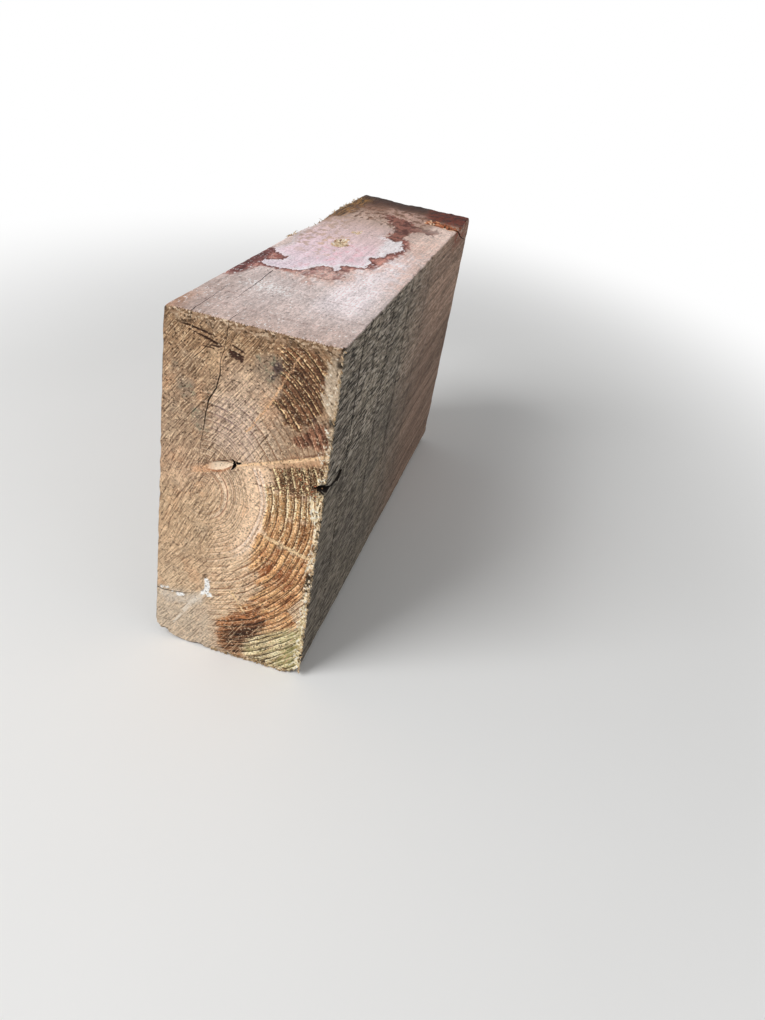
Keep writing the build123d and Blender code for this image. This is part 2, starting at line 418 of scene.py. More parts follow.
def box_skin():
    """Points, quads, triangles and finishes of a closed box: a grid for each face, held in from the
    arrises, a zipper of triangles along each arris and one triangle at each corner."""
    size = (WIDTH, LENGTH, HEIGHT)
    points, quads, triangles, grids, count = [], [], [], {}, 0
    for name, (axis, side, finish, _) in FACES.items():
        running = [i for i in range(3) if i != axis]
        first, second = face_lines(name)
        block = np.zeros((len(first), len(second), 3))
        block[..., axis] = side * size[axis]
        block[..., running[0]] = first[:, None]
        block[..., running[1]] = second[None, :]
        index = count + np.arange(block.size // 3).reshape(len(first), len(second))
        count += index.size
        points.append(block.reshape(-1, 3))
        cells = np.stack([index[:-1, :-1], index[1:, :-1], index[1:, 1:], index[:-1, 1:]], axis=-1)
        quads.append((cells.reshape(-1, 4), FINISHES.index(finish)))
        grids[axis, side] = (index, running, (first, second))

    def row(axis, side, other, other_side):
        """The vertices of a face's last line beside another face, and their places along it."""
        index, running, lines = grids[axis, side]
        end = -1 if other_side else 0
        if running[0] == other:
            return index[end, :], lines[1]
        return index[:, end], lines[0]

    for axis in range(3):
        for other in range(axis + 1, 3):
            for side in (0, 1):
                for other_side in (0, 1):
                    strip = zipper(*row(axis, side, other, other_side), *row(other, other_side, axis, side))
                    triangles.append(strip)
    for corner in np.ndindex(2, 2, 2):
        ends = [-1 if c else 0 for c in corner]
        three = [grids[axis, corner[axis]][0][tuple(ends[i] for i in range(3) if i != axis)]
                 for axis in range(3)]
        triangles.append(np.array([three]))
    return np.concatenate(points), quads, np.concatenate(triangles)


def rounded(points):
    """Rounds the long arrises and lifts the underside's left edge. Inside the square of a corner's
    radius the greater offset from the arc's centre is kept as a radius, and the share of the other
    becomes an angle of up to 45 degrees. The lift falls with the distance across and the rise."""
    result = points.copy()
    for right, top, radius in ROUNDS:
        turn_x, turn_z = (1 if right else -1), (1 if top else -1)
        centre_x = WIDTH - radius if right else radius
        centre_z = HEIGHT - radius if top else radius
        dx = (points[:, 0] - centre_x) * turn_x
        dz = (points[:, 2] - centre_z) * turn_z
        inside = (dx > 0) & (dz > 0)
        far = np.maximum(dx, dz)
        angle = np.where(inside, np.minimum(dx, dz) / np.maximum(far, 1e-9), 0) * math.pi / 4
        long, short = far * np.cos(angle), far * np.sin(angle)
        new_x = np.where(dx >= dz, long, short)
        new_z = np.where(dx >= dz, short, long)
        result[inside, 0] = (centre_x + turn_x * new_x)[inside]
        result[inside, 2] = (centre_z + turn_z * new_z)[inside]
    share = np.clip(1 - result[:, 0] / UNDERSIDE_LIFT_WIDTH, 0, 1)
    lift = UNDERSIDE_LIFT * share * share / (share + UNDERSIDE_BEND) * (1 + UNDERSIDE_BEND)
    result[:, 2] += lift * np.clip(1 - result[:, 2] / UNDERSIDE_LIFT_HEIGHT, 0, 1)
    return result


def depths_under(points):
    """Distance of each point below each face of the box, by the face's name."""
    under = {}
    size = (WIDTH, LENGTH, HEIGHT)
    for name, (axis, side, _, _) in FACES.items():
        under[name] = size[axis] - points[:, axis] if side else points[:, axis]
    return under


def outward(name):
    """The direction that a face looks in."""
    axis, side, _, _ = FACES[name]
    direction = np.zeros(3)
    direction[axis] = 1 if side else -1
    return direction


def saw_places(across, drop, degrees):
    """Places across and along saw marks that rise to the right at an angle."""
    turn = math.radians(degrees)
    over = across * math.sin(turn) + drop * math.cos(turn)
    run = across * math.cos(turn) - drop * math.sin(turn)
    return columns(over, run, np.zeros(len(over)))


def stain_distance(flat, outlines):
    """Signed distance to a stain of one or more outlines: the greatest of their inside distances."""
    return np.max([inside_distance(flat, outline) for outline in outlines], axis=0)


def front_relief(p):
    """Relief of the weathered end in mm: saw ridges, ring ridges that grow towards the right, torn
    ground in the dark stains, gouges, the sunk sliver and the branch's step, less a clearance."""
    across, drop = p[:, 0], HEIGHT - p[:, 2]
    flat = columns(across, drop)
    relief = 0.14 * noise(p, 2.6, 1) + 0.2 * noise(p, 17.0, 2)
    relief += 0.2 * noise(saw_places(across, drop, 57), (2.6, 50, 1), 3)
    radius = ring_radius(across, drop) + 1.2 * noise(p, 16.0, 4)
    right = smooth(across, 62, 100)
    relief += 0.22 * right * np.sin(radius * 2 * math.pi / RING_PITCH)
    torn = np.zeros(len(p))
    for name in STAIN_COLOURS:
        torn = np.maximum(torn, smooth(stain_distance(flat, END_STAINS[name]), -2, 3))
    relief += torn * (0.42 * noise(p, 2.4, 5) + 0.25 * noise(p, 5.0, 6) - 0.25)
    speckled = smooth(stain_distance(flat, END_STAINS["speckled"]), -2, 3)
    relief += speckled * (0.8 * noise(p, 3.0, 7) - 0.5)
    rim = smooth(across, 128, 135)
    relief += rim * (0.7 * noise(p, 2.8, 8) + 0.5 * noise(p, 6.0, 9) - 0.3)
    for route, width, depth in GOUGES:
        relief -= depth * (1 - smooth(line_distance(flat, route), 0.3 * width, width + 0.5))
    relief -= 1.3 * (1 - smooth(sliver_share(flat), 0.55, 1.0)) * smooth(across, 40, 58)
    branch = line_distance(flat, BRANCH)
    grown = smooth(across, 60, 138)
    relief += 0.6 * grown * (1 - smooth(branch, 1.5, 5.5))
    relief += 0.4 * smooth(stain_distance(flat, END_STAINS["plaster"]), -0.8, 1.0)
    return relief - 1.0


def top_relief(p):
    """Relief of the top face in mm: long soft ripples with the fibres, hollows where splinters have
    been pulled out and a slight crust on the pale patch, less a clearance."""
    flat = p[:, :2]
    relief = 0.16 * noise(p, (3.5, 40, 9), 11) + 0.18 * noise(p, (24, 90, 9), 12)
    patch = smooth(stain_distance(flat, TOP_STAINS["pale_patch"]), -1, 3)
    relief += patch * (0.12 + 0.2 * noise(p, 6.0, 13))
    relief -= 1.8 * smooth(stain_distance(flat, TOP_STAINS["torn_yellow"]), -1, 4)
    relief -= 1.2 * smooth(stain_distance(flat, TOP_STAINS["torn_small"]), -1, 3)
    crumbs = smooth(stain_distance(flat, TOP_STAINS["orange_crumbs"]), -1, 4)
    relief += crumbs * (0.7 * noise(p, 4.5, 14) - 0.9)
    far = smooth(p[:, 1], 400, 470)
    relief += far * (0.5 * noise(p, (5, 12, 9), 15) - 0.3)
    return np.minimum(relief - 0.6, 0)


def right_relief(p):
    """Relief of the right side in mm: rough upright saw ridges, fibre ripples and the deep upright
    cuts that a saw left, less a clearance."""
    relief = 0.35 * noise(p, (9, 6.5, 14), 21) + 0.3 * noise(p, (9, 30, 6.0), 22)
    relief += 0.3 * noise(p, (9, 14, 11), 23)
    for place, _, _ in SAW_CUTS:
        sway = place + 1.1 * noise(p, (9, 900, 30), 24)
        depth = 0.7 + 0.6 * noise(p, (9, 900, 22), 25)
        relief -= depth * (1 - smooth(np.abs(p[:, 1] - sway), 0.3, 2.0))
    return np.minimum(relief - 1.0, 0)


def plain_relief(p):
    """Relief of a hidden sawn face in mm: two soft noises, less a clearance."""
    return np.minimum(0.25 * noise(p, 9.0, 31) + 0.25 * noise(p, 28.0, 32) - 0.55, 0)


RELIEFS = {"front": front_relief, "top": top_relief, "right": right_relief}


def worn(points):
    """Skin points moved to their final places. Each face's relief moves the points near it along
    its outward direction and fades out 4 mm below it. Chips, the square of a noise where that is
    positive, take the arrises back. A torn stretch is cut to a drum laid across its arris."""
    under = depths_under(points)
    moved = rounded(points)
    shift = np.zeros_like(points)
    for name in FACES:
        near = under[name] < RELIEF_REACH
        relief = RELIEFS.get(name, plain_relief)(points[near])
        fade = 1 - smooth(under[name][near], 0.8, RELIEF_REACH)
        shift[near] += (relief * fade)[:, None] * outward(name)
    for number, (first, second, depth, chip, reach) in enumerate(WORN):
        off = np.hypot(under[first], under[second])
        near = off < reach
        ragged = noise(points[near], chip, 50 + number) + 0.5 * noise(points[near], chip / 2.4, 70 + number)
        bite = np.clip(ragged + 0.25, 0, 1.2) ** 2 * depth * (1 - smooth(off[near], 0.4 * reach, reach))
        shift[near] -= bite[:, None] * (outward(first) + outward(second)) / math.sqrt(2)
    for side, middle, length, depth in TEARS:
        inward = -unit(outward(side) + outward("top"))
        below = (under[side] + under["top"]) / math.sqrt(2)
        share = np.clip(1 - ((points[:, 1] - middle) / (length / 2)) ** 2, 0, 1)
        streak = 1 + 0.35 * noise(points, (3, 28, 3), 90) + 0.2 * noise(points, (1.8, 9, 1.8), 91)
        cut = depth * share * streak - below
        shift += np.clip(cut, 0, None)[:, None] * inward
    moved = moved + shift
    return np.clip(moved, 0.0, [WIDTH, LENGTH, HEIGHT])


def to_scene(points):
    """Places in mm from the beam's lower left front corner, as metres in the frame."""
    return points * MM + np.array(LOW)


def linked(name, data):
    """A new object with the given data, linked to the scene."""
    thing = bpy.data.objects.new(name, data)
    bpy.context.scene.collection.objects.link(thing)
    return thing


def new_object(name, points, faces, materials, finish=None):
    """A mesh object at the origin from points in mm and a list of faces."""
    mesh = bpy.data.meshes.new(name)
    mesh.from_pydata(to_scene(points), [], faces)
    for material in materials:
        mesh.materials.append(material)
    if finish is not None:
        mesh.polygons.foreach_set("material_index", finish)
    mesh.update()
    return linked(name, mesh)


def faced_outwards(mesh):
    """Turns the faces of a closed mesh to look outwards."""
    work = bmesh.new()
    work.from_mesh(mesh)
    bmesh.ops.recalc_face_normals(work, faces=work.faces)
    work.to_mesh(mesh)
    work.free()


def on_face(name, flat):
    """Places on a face, from its two flat places, as points in the beam's own places."""
    point = np.zeros((len(flat), 3))
    if name == "front":
        point[:, 0], point[:, 2] = flat[:, 0], HEIGHT - flat[:, 1]
    elif name == "top":
        point[:, 0], point[:, 1], point[:, 2] = flat[:, 0], flat[:, 1], HEIGHT
    else:
        point[:, 0], point[:, 1], point[:, 2] = WIDTH, flat[:, 0], HEIGHT - flat[:, 1]
    return point


def check_cutter(name, route, openings, depths, bellies=()):
    """Points and faces of one check's cutter: a three-sided tube along its route, with two lips
    above the face and one edge at the check's floor. Openings and depths run through their values
    at the start, middle and end, and a noise sways the route."""
    over = 2.5
    route = pairs(route)
    run = np.concatenate([[0], np.cumsum(np.hypot(*np.diff(route, axis=0).T))])
    at = np.linspace(0, run[-1], max(4, int(run[-1] / CUT_STEP)))
    flat = columns(np.interp(at, run, route[:, 0]), np.interp(at, run, route[:, 1]))
    share = at / run[-1]
    opening = np.interp(share, [0, 0.5, 1], openings)
    for middle, reach, extra in bellies:
        opening += extra * np.exp(-(((at - middle) / reach) ** 2))
    depth = np.interp(share, [0, 0.5, 1], depths)
    ends = np.minimum(1, 4 * np.minimum(share, 1 - share) + 0.15)
    place = on_face(name, flat)
    sway = noise(place, 5.0, 101) * 0.45 + noise(place, 2.0, 102) * 0.2
    opening = opening * (1 + 0.35 * noise(place, 4.0, 103))
    tangent = np.gradient(place, axis=0)
    tangent /= np.linalg.norm(tangent, axis=1)[:, None]
    out = outward(name)
    side = np.cross(tangent, out)
    place = place + side * (sway * ends)[:, None]
    half = (opening / 2 * (1 + over / depth))[:, None]
    section = np.stack([place + out * over + side * half, place + out * over - side * half,
                        place - out * depth[:, None]], axis=1)
    count = len(at)
    index = np.arange(count * 3).reshape(count, 3)
    following = np.roll(index, -1, axis=1)
    walls = np.stack([index[:-1], following[:-1], following[1:], index[1:]], axis=-1).reshape(-1, 4)
    caps = [index[0].tolist(), index[-1][::-1].tolist()]
    return section.reshape(-1, 3), walls.tolist() + caps


def cut_checks(skin, materials):
    """Cuts every check out of the skin with one Boolean modifier and applies it."""
    points, faces, count = [], [], 0
    for name, route, openings, depths, *bellies in CHECKS:
        block, block_faces = check_cutter(name, route, openings, depths, bellies)
        points.append(block)
        faces += [[i + count for i in face] for face in block_faces]
        count += len(block)
    inner = [FINISHES.index("shaded_check_wood")] * len(faces)
    cutter = new_object("check_cutter", np.concatenate(points), faces, materials, inner)
    faced_outwards(cutter.data)
    modifier = skin.modifiers.new("checks", "BOOLEAN")
    modifier.object = cutter
    modifier.operation = "DIFFERENCE"
    modifier.solver = "MANIFOLD"
    graph = bpy.context.evaluated_depsgraph_get()
    whole = bpy.data.meshes.new_from_object(skin.evaluated_get(graph))
    skin.modifiers.clear()
    plain = skin.data
    skin.data = whole
    bpy.data.meshes.remove(plain)
    bpy.data.objects.remove(cutter)
    if len(whole.polygons) < LEAST_FACES:
        raise RuntimeError("the checks could not be cut out of the skin")


def own_places(mesh):
    """Vertex places of a mesh, in mm from the beam's lower left front corner."""
    places = np.zeros(len(mesh.vertices) * 3)
    mesh.vertices.foreach_get("co", places)
    return (places.reshape(-1, 3) - np.array(LOW)) / MM


def give_attribute(mesh, name, values):
    """Stores one number for each vertex under a name that materials can read."""
    mesh.attributes.new(name, "FLOAT", "POINT").data.foreach_set("value", values.astype(np.float32))


def give_stains(mesh):
    """Stores the stains, lines and sliver of the weathered end and the top face. A stain is the
    distance inside its outlines, and a line falls from 1 on it to 0 at its half width."""
    places = own_places(mesh)
    end = columns(places[:, 0], HEIGHT - places[:, 2])
    for name, outlines in END_STAINS.items():
        give_attribute(mesh, name, stain_distance(end, outlines))
    for name, outlines in TOP_STAINS.items():
        give_attribute(mesh, name, stain_distance(places[:, :2], outlines))
    for name, (half, routes) in LINES.items():
        near = np.min([line_distance(end, route) for route in routes], axis=0)
        give_attribute(mesh, name, np.clip(1 - near / half, 0, 1))
    gouge = np.max([1 - line_distance(end, route) / (2 * width + 0.4) for route, width, _ in GOUGES], axis=0)
    give_attribute(mesh, "gouge", np.clip(gouge, 0, 1))
    give_attribute(mesh, "sliver", sliver_share(end))
    above = np.interp(places[:, 0], *pairs(BRANCH).T) - end[:, 1]
    give_attribute(mesh, "above_branch", above)


def slivers(places, ways, lengths, radii, seed):
    """Points and faces of many thin slivers. Each is a spindle of four sides: a ring at its root,
    a bent and thicker ring partway, and a tip, each ring turned about the sliver's own way."""
    draw = np.random.default_rng(seed)
    count = len(places)
    ways = ways / np.linalg.norm(ways, axis=1)[:, None]
    helper = np.where(np.abs(ways[:, 2:3]) < 0.8, [[0, 0, 1]], [[1, 0, 0]])
    side = np.cross(ways, helper)
    side /= np.linalg.norm(side, axis=1)[:, None]
    other = np.cross(ways, side)
    bend = draw.normal(0, 0.12, (count, 1)) * side + draw.normal(0, 0.12, (count, 1)) * other
    flatness = draw.uniform(0.3, 1.0, (count, 1))
    rings = []
    for share, thick in ((-0.08, 0.75), (0.45, 1.0)):
        middle = places + (ways * share + bend * share * share) * lengths[:, None]
        for turn in range(4):
            angle = turn * math.pi / 2
            rim = side * math.cos(angle) + other * flatness * math.sin(angle)
            rings.append(middle + rim * (radii * thick)[:, None])
    tip = places + (ways + bend) * lengths[:, None]
    block = np.stack(rings + [tip], axis=1)
    faces = [(3, 2, 1, 0)]
    for turn in range(4):
        following = (turn + 1) % 4
        faces.append((turn, following, 4 + following, 4 + turn))
        faces.append((4 + turn, 4 + following, 8))
    every = [tuple(corner + 9 * number for corner in face) for number in range(count) for face in faces]
    return block.reshape(-1, 3), every


def loose_fibres():
    """Places, ways, lengths, radii and tones of all loose fibres and crumbs, drawn around the arrises
    and hollows that they stand on."""
    draw = np.random.default_rng(SEED)
    even, bell = draw.uniform, draw.normal
    groups = []

    def add(places, ways, lengths, radii, tone):
        """One group of fibres, all of one tone."""
        groups.append((places, ways, lengths, radii, np.full(len(places), tone)))

    def scatter(count, low, high, ways, lengths, radii, tone):
        """One group in a box from low to high. Each part of its ways has its own kind of draw."""
        places = columns(*[even(a, b, count) for a, b in zip(low, high)])
        ways = columns(*[kind(a, b, count) for kind, a, b in ways])
        add(places, ways, even(*lengths, count), even(*radii, count), tone)

    # Torn left arris of the top
    count = 190
    along = np.where(draw.random(count) < 0.2, bell(262, 5, count), bell(395, 48, count))
    along = np.clip(along, 200, 500)
    share = np.clip(1 - ((along - 345) / 82) ** 2, 0, 1)
    places = columns(even(0.5, 6, count), along, HEIGHT - 1.5 - 4.2 * share)
    ways = columns(bell(-0.12, 0.25, count), draw.choice([-1, 1], count) * even(0.6, 1, count),
                   even(0, 0.35, count))
    add(places, ways, 2 + 13 * draw.random(count) ** 2.5, even(0.25, 0.75, count), 0.75)

    # The two torn hollows of the top
    for (x, y), (half_x, half_y), many in (((50, 273), (7, 15), 110), ((51, 329), (4, 6.5), 45)):
        angle, reach = even(0, 2 * math.pi, many), np.sqrt(even(0, 1, many))
        places = columns(x + half_x * reach * np.cos(angle), y + half_y * reach * np.sin(angle),
                         np.full(many, HEIGHT - 2.6))
        ways = columns(bell(0, 0.5, many), bell(0, 1, many), even(0.1, 0.7, many))
        add(places, ways, even(2.5, 9, many), even(0.3, 0.8, many), 0.95)

    # Broken right edge of the end, moved out of the notch
    scatter(300, (WIDTH - 3.4, 0.6, 6), (WIDTH - 1.4, 2.4, HEIGHT - 3),
            ((even, 0.1, 0.8), (even, -0.5, 0.1), (bell, -0.5, 0.8)), (1.2, 4.2), (0.25, 0.7), 0.8)
    rise = groups[-1][0][:, 2]
    rise[np.abs(HEIGHT - 113.5 - rise) < 9] -= 26

    # Foot of the end, dark stain on it, crumbs at the far end of the top
    scatter(170, (55, 0.6, 1.5), (WIDTH - 14, 2.4, 4),
            ((bell, 0.1, 0.5), (even, -0.5, 0.1), (even, -1, -0.1)), (1.5, 4), (0.3, 0.7), 0.7)
    scatter(130, (101, 0.9, HEIGHT - 127), (137, 2.2, HEIGHT - 98),
            ((bell, 0, 0.7), (even, -0.8, -0.2), (bell, 0, 0.7)), (0.8, 2.4), (0.35, 0.8), 0.45)
    scatter(120, (100, 440, HEIGHT - 1.9), (139, 462, HEIGHT - 1.3),
            ((bell, 0, 1), (bell, 0, 1), (even, 0.1, 0.6)), (1.5, 5), (0.5, 1.2), 0.2)
    return [np.concatenate(parts) for parts in zip(*groups)]


class Coat:
    """A colour that is built up in layers: each call works on what the calls before it have left."""

    def __init__(self, net, output):
        self.net = net
        self.output = output

    def over(self, shade, *shares):
        """Lays a shade over the colour, by the product of the shares."""
        self.output = self.net.blend(self.net.times(*shares), self, shade).output

    def lit(self, strength):
        """Multiplies the colour by a strength that changes over the surface."""
        self.output = self.net.lit(self, strength).output

    def sway(self, noise, reach, *shares):
        """Lights the colour by one and a noise's shift to both sides, times the shares."""
        self.lit(self.net.total(1.0, self.net.times(self.net.swing(noise, reach), *shares)))


class Nodes:
    """Adds shader nodes to one tree and links them. What is given to an input is either a plain
    value, which is set on it, or the output of another node, which is linked to it. A colour is a
    coat, a setting of the user's, or three numbers of 0 to 255 as it is seen."""

    def __init__(self, tree):
        self.tree = tree

    def add(self, kind, **settings):
        """A new node of a kind, with its settings."""
        node = self.tree.nodes.new(kind)
        for name, value in settings.items():
            setattr(node, name, value)
        return node

    def give(self, socket, value):
        """Sets a plain value on an input, or links an output to it."""
        if isinstance(value, Coat):
            value = value.output
        if isinstance(value, bpy.types.NodeSocket):
            self.tree.links.new(value, socket)
        else:
            socket.default_value = value

    def fill(self, node, values):
        """Gives a node's inputs their values, by name or number, and returns its first output."""
        for label, value in values.items():
            self.give(node.inputs[label], value)
        return node.outputs[0]

    def put(self, **values):
        """Gives the group's own outputs their values."""
        for label, value in values.items():
            self.give(self.outputs[label], value)

    def math(self, operation, *values):
        """A sum on numbers."""
        return self.fill(self.add("ShaderNodeMath", operation=operation), dict(enumerate(values)))

    def vector(self, operation, *values):
        """A sum on places."""
        return self.fill(self.add("ShaderNodeVectorMath", operation=operation), dict(enumerate(values)))

    def chain(self, operation, values):
        """A sum on numbers from the first to the last, two at a time."""
        result = values[0]
        for value in values[1:]:
            result = self.math(operation, result, value)
        return result

    def total(self, *values):
        """All the values added up."""
        return self.chain("ADD", values)

    def times(self, *values):
        """All the values multiplied."""
        return self.chain("MULTIPLY", values)

    def most(self, *values):
        """The greatest of the values."""
        return self.chain("MAXIMUM", values)

    def less(self, value, taken):
        """The value less another."""
        return self.math("SUBTRACT", value, taken)

    def rest(self, value):
        """One minus the value."""
        return self.less(1.0, value)

    def swing(self, value, reach):
        """A noise of 0 to 1 as a shift to both sides of nothing."""
        return self.times(self.less(value, 0.5), reach)

    def step(self, value, low, high, start=0.0, end=1.0):
        """Smooth step: start below low, end above high."""
        node = self.add("ShaderNodeMapRange", interpolation_type="SMOOTHSTEP")
        return self.fill(node, dict(enumerate((value, low, high, start, end))))

    def ragged(self, value, noise, reach, low, high, start=0.0, end=1.0):
        """Smooth step of a value that a noise shifts to both sides."""
        return self.step(self.total(value, self.swing(noise, reach)), low, high, start, end)

    def between(self, value, low, high, soft):
        """1 between low and high, with soft edges."""
        return self.times(self.step(value, low - soft, low + soft),
                          self.step(value, high + soft, high - soft))

    def pick(self, share, first, second):
        """A number between two numbers, by a share of 0 to 1."""
        node = self.add("ShaderNodeMix", data_type="FLOAT")
        return self.fill(node, {0: share, 2: first, 3: second})

    def blend(self, share, first, second):
        """A colour between two colours, by a share of 0 to 1."""
        node = self.add("ShaderNodeMix", data_type="RGBA")
        self.give(node.inputs[0], share)
        for place, value in ((6, first), (7, second)):
            self.give(node.inputs[place], value if isinstance(value, Coat) else (*linear(value), 1.0))
        return Coat(self, node.outputs[2])

    def scaled(self, place, strength):
        """A place or a colour times a number."""
        node = self.add("ShaderNodeVectorMath", operation="SCALE")
        return self.fill(node, {0: place, "Scale": strength})

    def lit(self, colour, strength):
        """The colour times a strength that changes over the surface."""
        return Coat(self, self.scaled(linear(colour), strength))

    def parts(self, place):
        """The three numbers of a place."""
        node = self.add("ShaderNodeSeparateXYZ")
        self.fill(node, {0: place})
        return node.outputs

    def place(self, x, y, z):
        """A place from its three numbers."""
        return self.fill(self.add("ShaderNodeCombineXYZ"), {0: x, 1: y, 2: z})

    def length(self, place):
        """How far a place is from the origin."""
        node = self.add("ShaderNodeVectorMath", operation="LENGTH")
        self.fill(node, {0: place})
        return node.outputs["Value"]

    def noise(self, point, cell, detail=2.0, rough=0.5, seed=0.0):
        """Noise of about 0 to 1 with cells of the given size in mm, a number or one for each axis."""
        cells = cell if isinstance(cell, tuple) else (cell, cell, cell)
        node = self.add("ShaderNodeTexNoise", noise_dimensions="4D")
        return self.fill(node, {"Vector": self.vector("DIVIDE", point, cells), "W": seed, "Scale": 1.0,
                                "Detail": detail, "Roughness": rough})

    def grains(self, point, cell, seed=0.0):
        """A random number of 0 to 1 for each of many packed grains of the given size in mm."""
        cells = cell if isinstance(cell, tuple) else (cell, cell, cell)
        moved = self.vector("ADD", self.vector("DIVIDE", point, cells), (7.3 * seed, 3.1 * seed, 5.7 * seed))
        node = self.add("ShaderNodeTexVoronoi")
        self.fill(node, {"Vector": moved, "Scale": 1.0})
        return self.fill(self.add("ShaderNodeSeparateColor"), {0: node.outputs["Color"]})

    def ramp(self, value, stops):
        """A colour for each value of 0 to 1, from a list of places and colours."""
        node = self.add("ShaderNodeValToRGB")
        elements = node.color_ramp.elements
        while len(elements) < len(stops):
            elements.new(0.5)
        for element, (place, colour) in zip(elements, stops):
            element.position = place
            element.color = (*linear(colour), 1.0)
        return Coat(self, self.fill(node, {0: value}))

    def attribute(self, name):
        """A number that is stored on the mesh."""
        return self.add("ShaderNodeAttribute", attribute_name=name).outputs["Fac"]

    def stain(self, name, ragged, soft, value):
        """Mask of a stain: its inside distance, moved by a noise, taken over a soft edge."""
        return self.ragged(self.attribute(name), value, ragged, -soft, soft)

    def group(self, name, **values):
        """Places a node group and returns its outputs by name."""
        node = self.add("ShaderNodeGroup", node_tree=bpy.data.node_groups[name])
        for label, value in values.items():
            self.give(node.inputs[label], value)
        return SimpleNamespace(**{output.name.lower(): output for output in node.outputs})

    def shader(self, colour, roughness, height, specular=0.25):
        """A Principled shader with relief from a height in mm."""
        bump = self.add("ShaderNodeBump")
        normal = self.fill(bump, {"Strength": 1.0, "Distance": MM, "Height": height})
        return self.fill(self.add("ShaderNodeBsdfPrincipled"),
                         {"Base Color": colour, "Roughness": roughness, "Specular IOR Level": specular,
                          "Normal": normal})

    def show(self, shader):
        """Shows a shader as the material's surface."""
        self.give(self.add("ShaderNodeOutputMaterial").inputs["Surface"], shader)

    def surface(self, colour, roughness, height, specular=0.25):
        """The whole finish: a Principled shader, shown as the material's surface."""
        self.show(self.shader(colour, roughness, height, specular))


def new_group(name, inputs, outputs):
    """An empty node group and its nodes helper. An output called Point is a place, any other is a
    number."""
    tree = bpy.data.node_groups.new(name, "ShaderNodeTree")
    for label, value in inputs.items():
        kind = "NodeSocketVector" if isinstance(value, tuple) else "NodeSocketFloat"
        tree.interface.new_socket(name=label, in_out="INPUT", socket_type=kind).default_value = value
    for label in outputs:
        kind = "NodeSocketVector" if label == "Point" else "NodeSocketFloat"
        tree.interface.new_socket(name=label, in_out="OUTPUT", socket_type=kind)
    net = Nodes(tree)
    net.inputs = net.add("NodeGroupInput").outputs
    net.outputs = net.add("NodeGroupOutput").inputs
    return net


def new_material(name, looks):
    """A node material, built by the function that MAKERS names for it."""
    material = bpy.data.materials.new(name)
    material.use_nodes = True
    material.node_tree.nodes.clear()
    MAKERS[name](Nodes(material.node_tree), looks)
    return material


def beam_places_group():
    """Where a point is on the beam, in mm: across, along and drop, and all three as one point."""
    net = new_group("beam_places", {}, ("Across", "Along", "Drop", "Point"))
    place = net.add("ShaderNodeTexCoord").outputs["Object"]
    moved = net.vector("SUBTRACT", place, (LOW[0], LOW[1], HIGH[2]))
    point = net.vector("MULTIPLY", moved, (1 / MM, 1 / MM, -1 / MM))
    across, along, drop = net.parts(point)
    net.put(Across=across, Along=along, Drop=drop, Point=point)


def growth_rings_group():
    """Growth rings about the heart. The radius is the distance from the heart, with the drop over
    the ring's stretch, plus a slow wobble. A curve through the measured ring edges turns it into a
    ring number. Each ring ends in a thin dark line, and a thin light line follows it. Streak and
    blade are noises of the radius and the way along the ring, so that they run with the rings."""
    net = new_group("growth_rings", {"Point": ORIGIN, "Wobble": 1.0},
                    ("Radius", "Part", "Dark", "Light", "Tone", "Streak", "Blade"))
    point = net.inputs["Point"]
    offset = net.vector("SUBTRACT", point, (HEART[0], 0.0, HEART[1]))
    offset = net.vector("MULTIPLY", offset, (1.0, 0.0, 1 / RING_STRETCH))
    flatter = net.vector("MULTIPLY", point, (1.0, 0.12, 1.0))
    slow = net.noise(flatter, 40.0, 1.0)
    quick = net.noise(flatter, 9.0, 1.0, seed=3.0)
    wobble = net.total(net.swing(slow, 5.0), net.swing(quick, 1.3))
    radius = net.total(net.length(offset), net.times(wobble, net.inputs["Wobble"]))
    table = net.add("ShaderNodeFloatCurve")
    curve = table.mapping.curves[0]
    last = len(RING_EDGES) - 1
    while len(curve.points) < len(RING_EDGES):
        curve.points.new(0.5, 0.5)
    for number, (handle, edge) in enumerate(zip(curve.points, RING_EDGES)):
        handle.location = (edge / RING_EDGES[-1], number / last)
        handle.handle_type = "VECTOR"
    table.mapping.update()
    number = net.fill(table, {"Value": net.math("DIVIDE", radius, RING_EDGES[-1])})
    turns = net.times(number, float(last))
    part = net.math("FRACT", turns)
    tone = net.add("ShaderNodeTexWhiteNoise", noise_dimensions="1D")
    net.give(tone.inputs["W"], net.math("FLOOR", turns))
    x, _, z = net.parts(offset)
    way = net.times(net.math("ARCTAN2", z, x), radius)
    turned = net.place(radius, way, net.group("beam_places").along)
    net.put(Radius=radius, Part=part, Tone=tone.outputs["Value"],
            Dark=net.times(net.step(part, 0.74, 0.88), net.step(part, 1.0, 0.97)),
            Light=net.times(net.step(part, 0.0, 0.03), net.step(part, 0.28, 0.12)),
            Streak=net.noise(turned, (0.95, 17.0, 40.0), 2.0, 0.5, 2.0),
            Blade=net.noise(turned, (3.6, 22.0, 40.0), 2.0, 0.6, 3.0))


